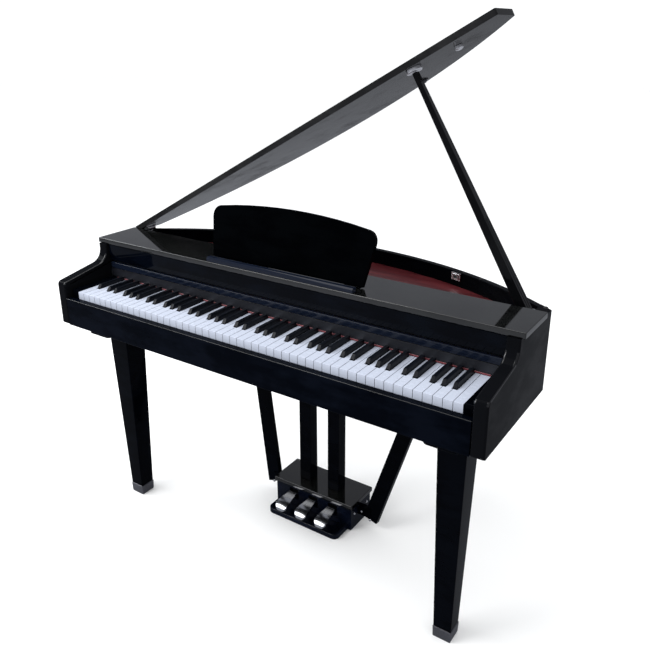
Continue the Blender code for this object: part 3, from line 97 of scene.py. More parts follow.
# A pedal's humped front: the length of its slope, half its width, its hump and its crown
PEDAL_SLOPE = 0.070
PEDAL_HALF = 0.0215
PEDAL_HUMP = 0.0090
PEDAL_CROWN = 0.0014
PEDAL_CUTS = 14
PEDAL_LENGTHWISE_CUTS = (-0.0140, -0.0075, 0.0, 0.0075, 0.0140)

# The rubber bumpers that the closed lid rests on. The back ones take their depth from the sides.
RIM_TOP = 0.8437
BACK_INSET = 0.016
MIDDLE_BUMPER = (0.4480, 0.1720)
BUMPER_X = 0.6560
BUMPER_RADIUS = 0.0060
MIDDLE_BUMPER_RADIUS = 0.0050

# Cap nuts of the lyre: places beside the pedal box (depth, height) and on the braces (width,
# height), and how far a nut stands off its face
CAP_NUT = 0.0045
NUT_GAP = 0.0001
BOX_NUT_Y = (0.046, 0.118)
BOX_NUT_Z = 0.0520
BRACE_NUTS = ((0.1870, 0.0330), (0.1560, 0.0520))

# Screws in the leg plates and in the bottom board, in from the edges or from the middle
PLATE_INSET = (0.013, 0.018)
BOARD_INSET = 0.020
BOARD_FRONT_X = (-0.45, -0.25, 0.25, 0.45)
BOARD_SIDE_X = (-0.62, 0.62)
BOARD_SIDE_Y = (-0.26, -0.10, 0.03)

# The widths of the eased edges
PANEL_EDGE = 0.0015
BOARD_EDGE = 0.0012
PEDAL_EDGE = 0.0010
KEY_EDGE = 0.0009
SOFT_EDGE = 0.0008
THIN_EDGE = 0.0006
FITTING_EDGE = 0.0005
TURNED_EDGE = 0.0004
LEAF_EDGE = 0.0003
SHEET_EDGE = 0.0002

# A point of the case sides that lies further out than this is on an outer face, where the smears and the
# painted reflection lie, and the look changes over the blend
OUTER_FACE = 0.6724
OUTER_BLEND = 0.0004

# How finely a copy of a solid is welded and flattened
WELD = 0.00002
FLAT_DEGREES = 0.5


def set_camera():
    """The camera stands to the right of the keyboard and looks down on the case."""
    bpy.ops.object.camera_add(
        location=CAMERA_PLACE, rotation=[math.radians(turn) for turn in CAMERA_TURN]
    )
    camera = bpy.context.object
    camera.data.lens = CAMERA_LENS
    camera.data.sensor_width = CAMERA_SENSOR
    camera.data.shift_x, camera.data.shift_y = CAMERA_SHIFT
    camera.data.clip_end = CAMERA_REACH
    bpy.context.scene.camera = camera


def soft_light(name, place, target, size, power, colour):
    """A rectangular lamp that looks at a target."""
    bpy.ops.object.light_add(type="AREA", location=place)
    lamp = bpy.context.object
    lamp.name = name
    lamp.rotation_euler = (Vector(target) - Vector(place)).to_track_quat("-Z", "Y").to_euler()
    lamp.data.shape = "RECTANGLE"
    lamp.data.size, lamp.data.size_y = size
    lamp.data.energy = power
    lamp.data.color = colour


def in_gloss(tree, seen, mirrored, socket):
    """The studio's own brightness: pale to the eye, and darker where lacquer mirrors it."""
    ray = tree.nodes.new("ShaderNodeLightPath")
    band = tree.nodes.new("ShaderNodeValToRGB")
    band.color_ramp.elements[0].color = (*seen, 1)
    band.color_ramp.elements[1].color = (*mirrored, 1)
    tree.links.new(ray.outputs["Is Glossy Ray"], band.inputs["Fac"])
    tree.links.new(band.outputs["Color"], socket)


def set_studio():
    """A pale floor, a white room and three soft boxes."""
    bpy.context.scene.view_settings.view_transform = "Standard"
    bpy.ops.mesh.primitive_plane_add(size=FLOOR_SIZE, location=(0, 0, 0))
    floor = bpy.context.object
    floor.name = "studio_floor"
    paint = bpy.data.materials.new("studio_floor_paint")
    paint.use_nodes = True
    shader = paint.node_tree.nodes["Principled BSDF"]
    shader.inputs["Roughness"].default_value = 0.9
    in_gloss(paint.node_tree, FLOOR_SEEN, FLOOR_MIRRORED, shader.inputs["Base Color"])
    floor.data.materials.append(paint)
    world = bpy.data.worlds.new("white_room")
    bpy.context.scene.world = world
    world.use_nodes = True
    sky = world.node_tree.nodes["Background"].inputs
    in_gloss(world.node_tree, ROOM_SEEN, ROOM_MIRRORED, sky["Color"])
    sky["Strength"].default_value = ROOM_STRENGTH
    for box in SOFT_BOXES:
        soft_light(*box)


# Finishes

class Finish:
    """A Principled material with its nodes laid out as it is built."""

    def __init__(self, name, roughness=0.5, metallic=0.0):
        self.material = bpy.data.materials.new(name)
        self.material.use_nodes = True
        self.tree = self.material.node_tree
        self.shader = self.tree.nodes["Principled BSDF"]
        self.shader.inputs["Roughness"].default_value = roughness
        self.shader.inputs["Metallic"].default_value = metallic
        self.place = self.tree.nodes.new("ShaderNodeTexCoord").outputs["Object"]

    def set(self, **values):
        for socket, value in values.items():
            self.shader.inputs[socket.replace("_", " ")].default_value = value

    def link(self, out, into):
        self.tree.links.new(out, into)

    def stretched(self, scale, turn=(0, 0, 0)):
        node = self.tree.nodes.new("ShaderNodeMapping")
        node.inputs["Scale"].default_value = scale
        node.inputs["Rotation"].default_value = turn
        self.link(self.place, node.inputs["Vector"])
        return node.outputs["Vector"]

    def noise(self, scale, detail=3.0, rough=0.5, at=None, distortion=0.0):
        node = self.tree.nodes.new("ShaderNodeTexNoise")
        node.inputs["Scale"].default_value = scale
        node.inputs["Detail"].default_value = detail
        node.inputs["Roughness"].default_value = rough
        node.inputs["Distortion"].default_value = distortion
        self.link(at or self.place, node.inputs["Vector"])
        return node.outputs["Fac"]

    def ramp(self, value, stops):
        node = self.tree.nodes.new("ShaderNodeValToRGB")
        band = node.color_ramp
        while len(band.elements) < len(stops):
            band.elements.new(0.5)
        for element, (spot, colour) in zip(band.elements, stops):
            element.position = spot
            element.color = (*colour, 1)
        self.link(value, node.inputs["Fac"])
        return node.outputs["Color"]

    def between(self, value, low, high, first=0.3, last=0.7):
        node = self.tree.nodes.new("ShaderNodeMapRange")
        node.inputs["From Min"].default_value = first
        node.inputs["From Max"].default_value = last
        node.inputs["To Min"].default_value = low
        node.inputs["To Max"].default_value = high
        self.link(value, node.inputs["Value"])
        return node.outputs["Result"]

    def combined(self, first, second, operation="ADD"):
        node = self.tree.nodes.new("ShaderNodeMath")
        node.operation = operation
        self.link(first, node.inputs[0])
        self.link(second, node.inputs[1])
        return node.outputs["Value"]

    def beyond(self, reach):
        """One where a point lies further than a reach to the left or right, zero elsewhere."""
        parts = self.tree.nodes.new("ShaderNodeSeparateXYZ")
        self.link(self.place, parts.inputs["Vector"])
        width = self.tree.nodes.new("ShaderNodeMath")
        width.operation = "ABSOLUTE"
        self.link(parts.outputs["X"], width.inputs[0])
        return self.between(width.outputs["Value"], 0.0, 1.0, reach, reach + OUTER_BLEND)

    def rough(self, value):
        self.link(value, self.shader.inputs["Roughness"])

    def colour(self, value):
        self.link(value, self.shader.inputs["Base Color"])

    def bump(self, height, strength, distance=0.001):
        node = self.tree.nodes.new("ShaderNodeBump")
        node.inputs["Strength"].default_value = strength
        node.inputs["Distance"].default_value = distance
        self.link(height, node.inputs["Height"])
        self.link(node.outputs["Normal"], self.shader.inputs["Normal"])


def lacquer(name, deep, dull, specular, smear, outer=0.0):
    """Black lacquer: a mirror with polishing smears, which may lie on the outer faces alone. Where its
    blacks are set light, as on the sides and the lid, that lighter colour is painted reflection.
    """
    made = Finish(name, 0.06)
    cloud = made.noise(3.2, 5.0, 0.62, distortion=0.5)
    wiped = made.noise(14.0, 4.0, 0.6, made.stretched((0.7, 1.0, 2.2), (0.3, 0.2, 0.9)))
    smears_and_sheen = made.combined(cloud, wiped, "MULTIPLY")
    if outer:
        smears_and_sheen = made.combined(smears_and_sheen, made.beyond(outer), "MULTIPLY")
    made.colour(made.ramp(smears_and_sheen, [(0.20, deep), (0.32, dull)]))
    made.rough(made.between(smears_and_sheen, *smear, 0.15, 0.38))
    made.bump(made.noise(900.0, 1.0), 0.02, 0.0004)
    made.set(Specular_IOR_Level=specular, IOR=1.5)
    return made.material


def crimson_board():
    """Crimson stained board: long grain with darker pores."""
    made = Finish("crimson_stain", 0.4)
    rings = made.noise(9.0, 6.0, 0.6, made.stretched((0.25, 3.2, 3.2)), 0.6)
    pores = made.noise(60.0, 3.0, 0.7, made.stretched((0.10, 2.4, 2.4)))
    grain = made.combined(rings, pores, "MULTIPLY")
    stain = [(0.10, (0.020, 0.003, 0.004)), (0.24, (0.095, 0.012, 0.016)), (0.42, (0.190, 0.032, 0.036))]
    made.colour(made.ramp(grain, stain))
    made.rough(made.between(pores, 0.28, 0.52))
    made.bump(pores, 0.25, 0.0004)
    return made.material


def key_white():
    """Moulded white key tops: slightly cool, with a breath of uneven gloss."""
    made = Finish("white_key_top", 0.2)
    haze = made.noise(7.0, 4.0, 0.6)
    made.colour(made.ramp(haze, [(0.3, (0.425, 0.460, 0.550)), (0.7, (0.445, 0.480, 0.568))]))
    made.rough(made.between(made.noise(55.0, 3.0, 0.6), 0.24, 0.29))
    made.bump(made.noise(1400.0, 2.0), 0.03, 0.0003)
    made.set(Specular_IOR_Level=0.22)
    return made.material


def key_black():
    """Matt black key caps with a fine lengthwise grain."""
    made = Finish("black_key_cap", 0.4)
    grain = made.noise(380.0, 3.0, 0.6, made.stretched((1.0, 0.06, 1.0)))
    made.colour(made.ramp(grain, [(0.3, (0.0014, 0.0020, 0.0038)), (0.7, (0.0042, 0.0054, 0.0086))]))
    made.rough(made.between(grain, 0.24, 0.42))
    made.bump(grain, 0.12, 0.0003)
    made.set(Specular_IOR_Level=0.11)
    return made.material


def felt(name, low, high):
    """Pressed wool felt with a loose nap."""
    made = Finish(name, 0.95)
    fluff = made.noise(420.0, 6.0, 0.75)
    made.colour(made.ramp(fluff, [(0.3, low), (0.7, high)]))
    made.bump(made.noise(900.0, 5.0, 0.8), 0.9, 0.0008)
    made.set(Sheen_Weight=0.5, Sheen_Roughness=0.5)
    return made.material


def moulded(name, low, high, gloss, grain=700.0):
    """Moulded or painted plastic with a fine pebble."""
    made = Finish(name, gloss)
    pebble = made.noise(grain, 3.0, 0.6)
    made.colour(made.ramp(made.noise(12.0, 4.0, 0.6), [(0.3, low), (0.7, high)]))
    made.rough(made.between(pebble, gloss - 0.08, gloss + 0.10))
    made.bump(pebble, 0.25, 0.0003)
    return made.material


def metal(name, tone, gloss, brushed, axis_scale):
    """Plated or brushed metal: streaks along one direction and slight tarnish."""
    made = Finish(name, gloss, 1.0)
    streaks = made.noise(240.0, 4.0, 0.7, made.stretched(axis_scale))
    cloud = made.noise(16.0, 4.0, 0.6)
    dark = tuple(0.78 * c for c in tone)
    made.colour(made.ramp(made.combined(streaks, cloud, "MULTIPLY"), [(0.12, dark), (0.40, tone)]))
    made.rough(made.between(streaks, gloss - brushed / 2, gloss + brushed))
    made.bump(streaks, brushed, 0.0002)
    return made.material


def satin_trim():
    """Dark anodised trim, brushed along its length."""
    made = Finish("satin_trim", 0.3)
    lines = made.noise(700.0, 3.0, 0.6, made.stretched((0.01, 1.0, 1.0)))
    made.colour(made.ramp(lines, [(0.3, (0.0020, 0.0034, 0.0085)), (0.7, (0.0060, 0.0090, 0.0180))]))
    made.rough(made.between(lines, 0.05, 0.13))
    made.bump(lines, 0.05, 0.0001)
    made.set(Specular_IOR_Level=0.19)
    return made.material


def bare_wood():
    """Unfinished softwood with long grain."""
    made = Finish("bare_wood_rail", 0.65)
    rings = made.noise(12.0, 6.0, 0.6, made.stretched((0.2, 3.0, 3.0)), 0.8)
    made.colour(made.ramp(rings, [(0.3, (0.34, 0.21, 0.11)), (0.7, (0.56, 0.39, 0.23))]))
    made.bump(rings, 0.3, 0.0005)
    return made.material


def make_finishes():
    """Every finish by its look. A lacquer has its two blacks, its gloss and its smears' roughness."""
    return {
        "case": lacquer(
            "case_lacquer", (0.0003, 0.0005, 0.0011), (0.0008, 0.0012, 0.0023), 0.02, (0.035, 0.10)
        ),
        "slip": lacquer(
            "slip_lacquer", (0.0004, 0.0008, 0.0020), (0.0015, 0.0023, 0.0048), 0.014, (0.05, 0.14)
        ),
        "mirror": lacquer(
            "top_lacquer", (0.0020, 0.0022, 0.0022), (0.0050, 0.0054, 0.0054), 0.66, (0.02, 0.07)
        ),
        "fallboard": lacquer(
            "fallboard_lacquer", (0.0003, 0.0006, 0.0016), (0.0009, 0.0016, 0.0036), 0.06, (0.02, 0.05)
        ),
        # The lid's blacks are far lighter than the case's: painted reflection on its underside
        "lid": lacquer(
            "lid_lacquer_painted_reflection", (0.0085, 0.0087, 0.0093), (0.0150, 0.0152, 0.0160), 0.042, (0.05, 0.28)
        ),
        # The sides' blacks are far lighter than the case's, most on the outer faces: polishing smears
        # and painted reflection
        "side": lacquer(
            "side_lacquer_smears_and_painted_reflection", (0.0030, 0.0033, 0.0042), (0.0110, 0.0115, 0.0131),
            0.008, (0.06, 0.26), OUTER_FACE
        ),
        # A lighter, glossier copy of the lacquer for the bevels: its gloss catches the lamps, and its
        # lighter blacks are painted highlight lines along the edges
        "edge": lacquer(
            "edge_highlight_lacquer", (0.0040, 0.0042, 0.0050), (0.0110, 0.0115, 0.0130), 0.38, (0.10, 0.22)
        ),
        "prop": lacquer(
            "prop_lacquer", (0.0006, 0.0007, 0.0010), (0.0018, 0.0019, 0.0024), 0.14, (0.05, 0.12)
        ),
        "pedal_case": lacquer(
            "pedal_case_lacquer", (0.0014, 0.0024, 0.0060), (0.0034, 0.0052, 0.0120), 0.10, (0.10, 0.22)
        ),
        "pedal": metal("pedal_nickel", (0.60, 0.61, 0.64), 0.20, 0.02, (1.0, 0.1, 1.0)),
        "desk": lacquer(
            "desk_lacquer", (0.0002, 0.0003, 0.0005), (0.0005, 0.0007, 0.0010), 0.012, (0.03, 0.07)
        ),
        "crimson": crimson_board(),
        "white": key_white(),
        # Darker than the key tops: painted shade on the flanks between the white keys
        "flank": moulded("key_flank_painted_shade", (0.060, 0.066, 0.085), (0.090, 0.098, 0.122), 0.50),
        "black": key_black(),
        "felt": felt("red_key_felt", (0.080, 0.004, 0.010), (0.230, 0.014, 0.028)),
        "strip": moulded("dark_strip_paint", (0.006, 0.007, 0.010), (0.012, 0.013, 0.018), 0.38),
        "trim": satin_trim(),
        "chrome": metal("polished_chrome", (0.80, 0.80, 0.82), 0.10, 0.06, (1.0, 1.0, 1.0)),
        "cap": metal("brushed_cap_steel", (0.17, 0.17, 0.185), 0.30, 0.16, (0.4, 0.4, 6.0)),
        "bright": metal("satin_bright_nickel", (0.90, 0.90, 0.92), 0.30, 0.06, (1.0, 1.0, 1.0)),
        "dark_metal": metal("darkened_steel", (0.10, 0.10, 0.11), 0.26, 0.10, (1.0, 1.0, 1.0)),
        "pressed": metal("pressed_zinc", (0.52, 0.53, 0.55), 0.38, 0.14, (1.0, 1.0, 1.0)),
        "wood": bare_wood(),
        "rubber": moulded("black_rubber", (0.010, 0.010, 0.010), (0.022, 0.022, 0.022), 0.62, 500.0),
        "speaker": moulded("speaker_cone", (0.014, 0.014, 0.015), (0.034, 0.034, 0.036), 0.60, 900.0),
        "circuit": moulded("circuit_lacquer", (0.008, 0.070, 0.030), (0.018, 0.120, 0.052), 0.35, 300.0),
    }


# Softened copies of the solids

def body_of(node):
    """The moving body, or the fixed case, that a solid belongs to."""
    for body, members in frame["record"]["behaviour"]["bodies"].items():
        if node in members:
            return body


def pick(piece):
    """Makes one piece the only selected and the active one."""
    bpy.ops.object.select_all(action="DESELECT")
    piece.select_set(True)
    bpy.context.view_layer.objects.active = piece


def ease(piece, width, segments=2, angle=30.0):
    """Bevels the edges that turn by more than an angle."""
    pick(piece)
    step = piece.modifiers.new("eased_edges", "BEVEL")
    step.width = width
    step.segments = segments
    step.limit_method = "ANGLE"
    step.angle_limit = math.radians(angle)
    bpy.ops.object.modifier_apply(modifier=step.name)


# Tests for the faces that take a second finish: painted highlight lines on edges, or painted shade on
# the flanks of keys

def across_edge(normal):
    return 0.2 < abs(normal.x) < 0.97 and normal.z > 0.25


def front_edge(normal):
    return normal.z > 0.2 and normal.y < -0.2


def key_flank(normal):
    return abs(normal.x) > 0.6


def softened(node, finish, width=0.0, segments=2, angle=32.0, smooth=35.0, shape=None, painted_light_faces=None):
    """Puts a welded copy of a solid in its place, with eased edges and flats that stay flat.

    A shape reworks the copy first. The last argument is a test on a face's normal and the finish that
    the faces which pass it take; it paints highlight lines on edges with a lighter, glossier lacquer, or
    paints shade on the flanks of keys with a darker plastic.
    """
    piece = bpy.data.objects.new(f"{node}_finished", frame["nodes"][node].data.copy())
    bpy.context.scene.collection.objects.link(piece)
    pick(piece)
    bpy.ops.object.mode_set(mode="EDIT")
    bpy.ops.mesh.select_all(action="SELECT")
    bpy.ops.mesh.remove_doubles(threshold=WELD)
    bpy.ops.mesh.dissolve_limited(angle_limit=math.radians(FLAT_DEGREES))
    bpy.ops.mesh.normals_make_consistent(inside=False)
    bpy.ops.object.mode_set(mode="OBJECT")
    if shape:
        shape(piece)
    if width:
        ease(piece, width, segments, angle)
    bpy.ops.object.shade_smooth_by_angle(angle=math.radians(smooth))
    level = piece.modifiers.new("flat_faces", "WEIGHTED_NORMAL")
    level.keep_sharp = True
    bpy.ops.object.modifier_apply(modifier=level.name)
    piece.data.materials.clear()
    piece.data.materials.append(finish)
    if painted_light_faces:
        # The second finish paints highlight lines on edges or shade on the flanks of keys
        on_edge, bright = painted_light_faces
        piece.data.materials.append(bright)
        for face in piece.data.polygons:
            face.material_index = int(on_edge(face.normal))
    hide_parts(node)
    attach(piece, body_of(node))


def spoon(piece):
    """Cuts a flat pedal blade crosswise and lengthwise, then humps and crowns its front."""
    pick(piece)
    middle = sum(v.co.x for v in piece.data.vertices) / len(piece.data.vertices)
    tip = min(v.co.y for v in piece.data.vertices)
    bpy.ops.object.mode_set(mode="EDIT")
    for step in range(1, PEDAL_CUTS):
        back = tip + PEDAL_SLOPE * (step / PEDAL_CUTS) ** 1.5
        bpy.ops.mesh.select_all(action="SELECT")
        bpy.ops.mesh.bisect(plane_co=(0, back, 0), plane_no=(0, 1, 0))
    for across in PEDAL_LENGTHWISE_CUTS:
        bpy.ops.mesh.select_all(action="SELECT")
        bpy.ops.mesh.bisect(plane_co=(middle + across, 0, 0), plane_no=(1, 0, 0))
    bpy.ops.object.mode_set(mode="OBJECT")
    for point in piece.data.vertices:
        reach = (point.co.y - tip) / PEDAL_SLOPE
        if reach < 1.0:
            # The factor brings the hump's highest point close to one
            hump = 5.34 * max(reach, 0.0) ** 0.8 * (1.0 - reach) ** 2
            crown = 1.0 - ((point.co.x - middle) / PEDAL_HALF) ** 2
            point.co.z += hump * (PEDAL_HUMP + PEDAL_CROWN * crown)


def finish_solids(finishes):
    """Every solid, with its finish and its eased edges."""
    for hand in ("left", "right"):
        # The sides' lighter blacks paint reflection on their outer faces, and their bevels take the edge
        # lacquer's painted highlight
        softened(f"side_{hand}", finishes["side"], BOARD_EDGE, painted_light_faces=(across_edge, finishes["edge"]))
        softened(f"cheek_{hand}", finishes["case"])
        softened(f"leg_{hand}", finishes["case"])
        softened(f"leg_cap_{hand}", finishes["cap"])
        softened(f"leg_plate_{hand}", finishes["case"], PANEL_EDGE)
        softened(f"strut_{hand}", finishes["case"], PANEL_EDGE)
        softened(f"desk_hinge_{hand}", finishes["pressed"], LEAF_EDGE, 1)
        softened(f"speaker_{hand}", finishes["speaker"], smooth=25.0)
    softened("rear_rim", finishes["case"], PANEL_EDGE)
    softened("bottom_board", finishes["case"], THIN_EDGE, 1)
    # The slip's front bevel takes the edge lacquer: a painted highlight line
    softened("key_slip", finishes["slip"], painted_light_faces=(front_edge, finishes["edge"]))
    softened("nameboard", finishes["fallboard"])
    softened("top_board", finishes["mirror"])
    softened("soundboard", finishes["crimson"])
    softened("belly_rail", finishes["wood"], SOFT_EDGE, 1)
    softened("key_frame", finishes["pressed"], TURNED_EDGE, 1)
    softened("name_felt", finishes["felt"], SOFT_EDGE)
    softened("key_strip", finishes["strip"], THIN_EDGE)
    softened("key_cover_rail", finishes["trim"])
    softened("key_cover_sheet", finishes["strip"], FITTING_EDGE, 1)
    softened("music_desk", finishes["desk"])
    softened("music_ledge", finishes["trim"], smooth=50.0)
    softened("lid", finishes["lid"], smooth=40.0)
    softened("lid_hinge_base", finishes["chrome"], LEAF_EDGE, 1)
    softened("lid_hinge_leaf", finishes["chrome"], LEAF_EDGE, 1)
    softened("lid_knob", finishes["bright"], TURNED_EDGE, smooth=60.0)
    softened("prop_cup", finishes["bright"], FITTING_EDGE)
    softened("prop", finishes["prop"], THIN_EDGE, 1)
    softened("prop_bracket", finishes["pressed"], THIN_EDGE, 1)
    softened("rim_catch", finishes["chrome"])
    softened("pedal_box", finishes["pedal_case"], BOARD_EDGE)
    # The front bevels of the pedal box top and tray take the edge lacquer: painted highlight lines
    softened("pedal_box_top", finishes["mirror"], painted_light_faces=(front_edge, finishes["edge"]))
    softened("pedal_tray", finishes["pedal_case"], BOARD_EDGE, painted_light_faces=(front_edge, finishes["edge"]))
    softened("lyre", finishes["case"], PANEL_EDGE)
    softened("main_board", finishes["circuit"], SHEET_EDGE, 1)
    for name in ("left", "middle", "right"):
        softened(f"pedal_{name}", finishes["pedal"], PEDAL_EDGE, 2, 40.0, 60.0, spoon)
    for octave in range(1, 8):
        # The flanks of the white keys take the darker plastic, which paints shade between the keys
        flank_shade = (key_flank, finishes["flank"])
        softened(f"white_keys_{octave}", finishes["white"], KEY_EDGE, painted_light_faces=flank_shade)
        softened(f"black_keys_{octave}", finishes["black"], KEY_EDGE, 3)


# Small fittings, modelled one by one

def seat(piece, name, finish, body, smooth=35.0):
    """Names and finishes a modelled piece, puts its place in its mesh and lets it ride."""
    piece.name = name
    piece.data.name = name
    pick(piece)
    bpy.ops.object.transform_apply(location=True, rotation=True, scale=True)
    bpy.ops.object.shade_smooth_by_angle(angle=math.radians(smooth))
    piece.data.materials.clear()
    piece.data.materials.append(finish)
    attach(piece, body)


def facing(normal):
    """The turn that makes a piece's Z look along a direction."""
    return Vector(normal).to_track_quat("Z", "Y").to_matrix().to_4x4()


def put(piece, place, turn):
    """Sets a piece at a place, with a turn."""
    piece.matrix_world = Matrix.Translation(Vector(place)) @ turn


def cut(piece, cutter):
    """Takes one piece's shape out of another and removes the cutter."""
    pick(piece)
    step = piece.modifiers.new("cut", "BOOLEAN")
    step.operation = "DIFFERENCE"
    step.solver = "EXACT"
    step.object = cutter
    bpy.ops.object.modifier_apply(modifier=step.name)
    bpy.data.objects.remove(cutter)


def block(size, place=(0, 0, 0), turn=(0, 0, 0)):
    bpy.ops.object.select_all(action="DESELECT")
    bpy.ops.mesh.primitive_cube_add(size=1.0, location=place, rotation=turn, scale=size)
    return bpy.context.object


def rod(radius, length, place=(0, 0, 0), turn=(0, 0, 0), sides=24):
    bpy.ops.object.select_all(action="DESELECT")
    bpy.ops.mesh.primitive_cylinder_add(
        vertices=sides, radius=radius, depth=length, location=place, rotation=turn
    )
    return bpy.context.object


def top_faces(piece, normal=(0, 0, 1)):
    """Selects the faces that look along a direction, and goes into edit mode on them."""
    pick(piece)
    wanted = Vector(normal)
    bpy.ops.object.mode_set(mode="EDIT")
    bpy.ops.mesh.select_all(action="DESELECT")
    bpy.ops.object.mode_set(mode="OBJECT")
    for face in piece.data.polygons:
        face.select = face.normal.dot(wanted) > 0.99
    bpy.ops.object.mode_set(mode="EDIT")
    bpy.ops.mesh.select_mode(type="FACE")


def step_in(inset, lift):
    """Insets the selected faces and moves what is inside along Z."""
    bpy.ops.mesh.inset(thickness=inset)
    bpy.ops.transform.translate(value=(0, 0, lift))


def screw_head(radius):
    """A pan-head screw with a cross recess, standing on Z = 0."""
    head = rod(radius, radius * 0.5, (0, 0, radius * 0.25), sides=16)
    top_faces(head)
    step_in(radius * 0.35, radius * 0.14)
    bpy.ops.object.mode_set(mode="OBJECT")
    recess = (radius * 0.95, radius * 0.22, radius * 0.5)
    for turn in (0.4, 0.4 + math.pi / 2):
        cut(head, block(recess, (0, 0, radius * 0.66), (0, 0, turn)))
    return head


def screws(name, spots, radius, finish, body):
    """A set of screw heads, each (place, direction it looks in), joined as one piece."""
    many(name, screw_head(radius), spots, finish, body)


def on_lid(along, above, y):
    """A place on the open lid, along it from the hinge axis and above its underside."""
    cos = math.cos(LID_ANGLE)
    sin = math.sin(LID_ANGLE)
    return Vector((LID_AXIS.x + along * cos - above * sin, y, LID_AXIS.z + along * sin + above * cos))


def on_lid_turn():
    """The turn that lays a piece along the open lid."""
    return Euler((0, -LID_ANGLE, 0)).to_matrix().to_4x4()


def bumper(name, place, radius, finish):
    """A low rubber dome stuck to the case's top edge."""
    bpy.ops.object.select_all(action="DESELECT")
    bpy.ops.mesh.primitive_uv_sphere_add(
        segments=20, ring_count=12, radius=radius, location=place, scale=(1, 1, 0.42)
    )
    dome = bpy.context.object
    bpy.ops.object.mode_set(mode="EDIT")
    bpy.ops.mesh.select_all(action="SELECT")
    bpy.ops.mesh.bisect(plane_co=place, plane_no=(0, 0, 1), use_fill=True, clear_inner=True)
    bpy.ops.object.mode_set(mode="OBJECT")
    seat(dome, name, finish, "case", 50.0)


def oval_leaf(half_length, half_width, thick):
    """One leaf of the ornate hinge: an oval plate with a raised rim and two oval windows."""
    leaf = rod(1.0, thick, sides=40)
    leaf.scale = (half_length, half_width, 1.0)
    pick(leaf)
    bpy.ops.object.transform_apply(location=True, rotation=True, scale=True)
    for side in (1, -1):
        top_faces(leaf, (0, 0, side))
        step_in(0.18 * half_width, -0.35 * thick * side)
        bpy.ops.object.mode_set(mode="OBJECT")
    for side in (1, -1):
        window = rod(0.30 * half_width, 4.0 * thick, (0, side * 0.40 * half_width, 0))
        window.scale = (1.8, 1.0, 1.0)
        cut(leaf, window)
    ease(leaf, LEAF_EDGE)
    return leaf


def ornate_hinge(finishes):
    """Two oval leaves, each with a grooved barrel and screws, and two straps under the lid."""
    turn = on_lid_turn()
    leaf = oval_leaf(*UPPER_LEAF)
    put(leaf, on_lid(0.042, -0.0019, HINGE_Y), turn)
    seat(leaf, "lid_hinge_upper_leaf", finishes["bright"], "lid")
    base = oval_leaf(*LOWER_LEAF)
    base.location = HINGE_BASE
    seat(base, "lid_hinge_lower_leaf", finishes["bright"], "case")
    for number, y in enumerate(HINGE_STRAPS):
        strap = block(STRAP_SIZE)
        ease(strap, FITTING_EDGE)
        put(strap, on_lid(0.0175, -0.0009, y), turn)
        seat(strap, f"lid_hinge_strap_{number + 1}", finishes["chrome"], "lid")
    # The lower barrel is short enough to stay between the straps as the lid turns
    for name, place, length, body in (
        ("upper", on_lid(0.044, -0.0074, HINGE_Y), 0.0300, "lid"),
        ("lower", HINGE_BASE + Vector((-0.0080, -0.0005, 0.0036)), 0.0180, "case"),
    ):
        along_y = (math.pi / 2, 0, 0)
        barrel = rod(BARREL_RADIUS, length, place, along_y)
        for offset in HINGE_GROOVES:
            centre = place + Vector((0, offset, 0))
            groove = rod(0.0060, 0.0012, centre, along_y)
            cut(groove, rod(0.0036, 0.0060, centre, along_y))
            cut(barrel, groove)
        ease(barrel, TURNED_EDGE)
        seat(barrel, f"lid_hinge_{name}_barrel", finishes["bright"], body)
    below = turn @ Vector((0, 0, -1))
    spots = [(on_lid(along, -0.0028, HINGE_Y), below) for along in HINGE_SCREWS_ALONG]
    screws("lid_hinge_screws", spots, 0.0026, finishes["dark_metal"], "lid")
    spots = [((HINGE_BASE.x, y, HINGE_BASE.z + 0.0006), (0, 0, 1)) for y in HINGE_SCREWS_Y]
    screws("lid_hinge_base_screws", spots, 0.0022, finishes["dark_metal"], "case")


def lid_button(finishes):
    """The round catch under the lid's high end: a collar and a domed knob with a slot."""
    downwards = on_lid_turn() @ Matrix.Rotation(math.pi, 4, "X")
    collar = rod(0.0125, 0.0026, sides=36)
    top_faces(collar)
    step_in(0.0030, -0.0010)
    bpy.ops.object.mode_set(mode="OBJECT")
    ease(collar, TURNED_EDGE)
    put(collar, on_lid(CATCH_ALONG, -0.0014, CATCH_Y), downwards)
    seat(collar, "lid_catch_collar", finishes["dark_metal"], "lid")
    knob = bolt_dome(0.0085)
    cut(knob, block((0.0200, 0.0022, 0.0060), (0, 0, 0.0085), (0, 0, 0.6)))
    ease(knob, LEAF_EDGE)
    put(knob, on_lid(CATCH_ALONG, -0.0016, CATCH_Y), downwards)
    seat(knob, "lid_catch_knob", finishes["dark_metal"], "lid")


def widest_face(node, towards):
    """The centre and outward direction of a solid's largest flat face that looks one way."""
    wanted = Vector(towards)
    faces = [face for face in frame["nodes"][node].data.polygons if face.normal.dot(wanted) > 0.8]
    normal = max(faces, key=lambda face: face.area).normal.copy()
    flat = [face for face in faces if face.normal.dot(normal) > 0.999]
    area = sum(face.area for face in flat)
    centre = sum((face.center * face.area for face in flat), Vector()) / area
    return centre, normal


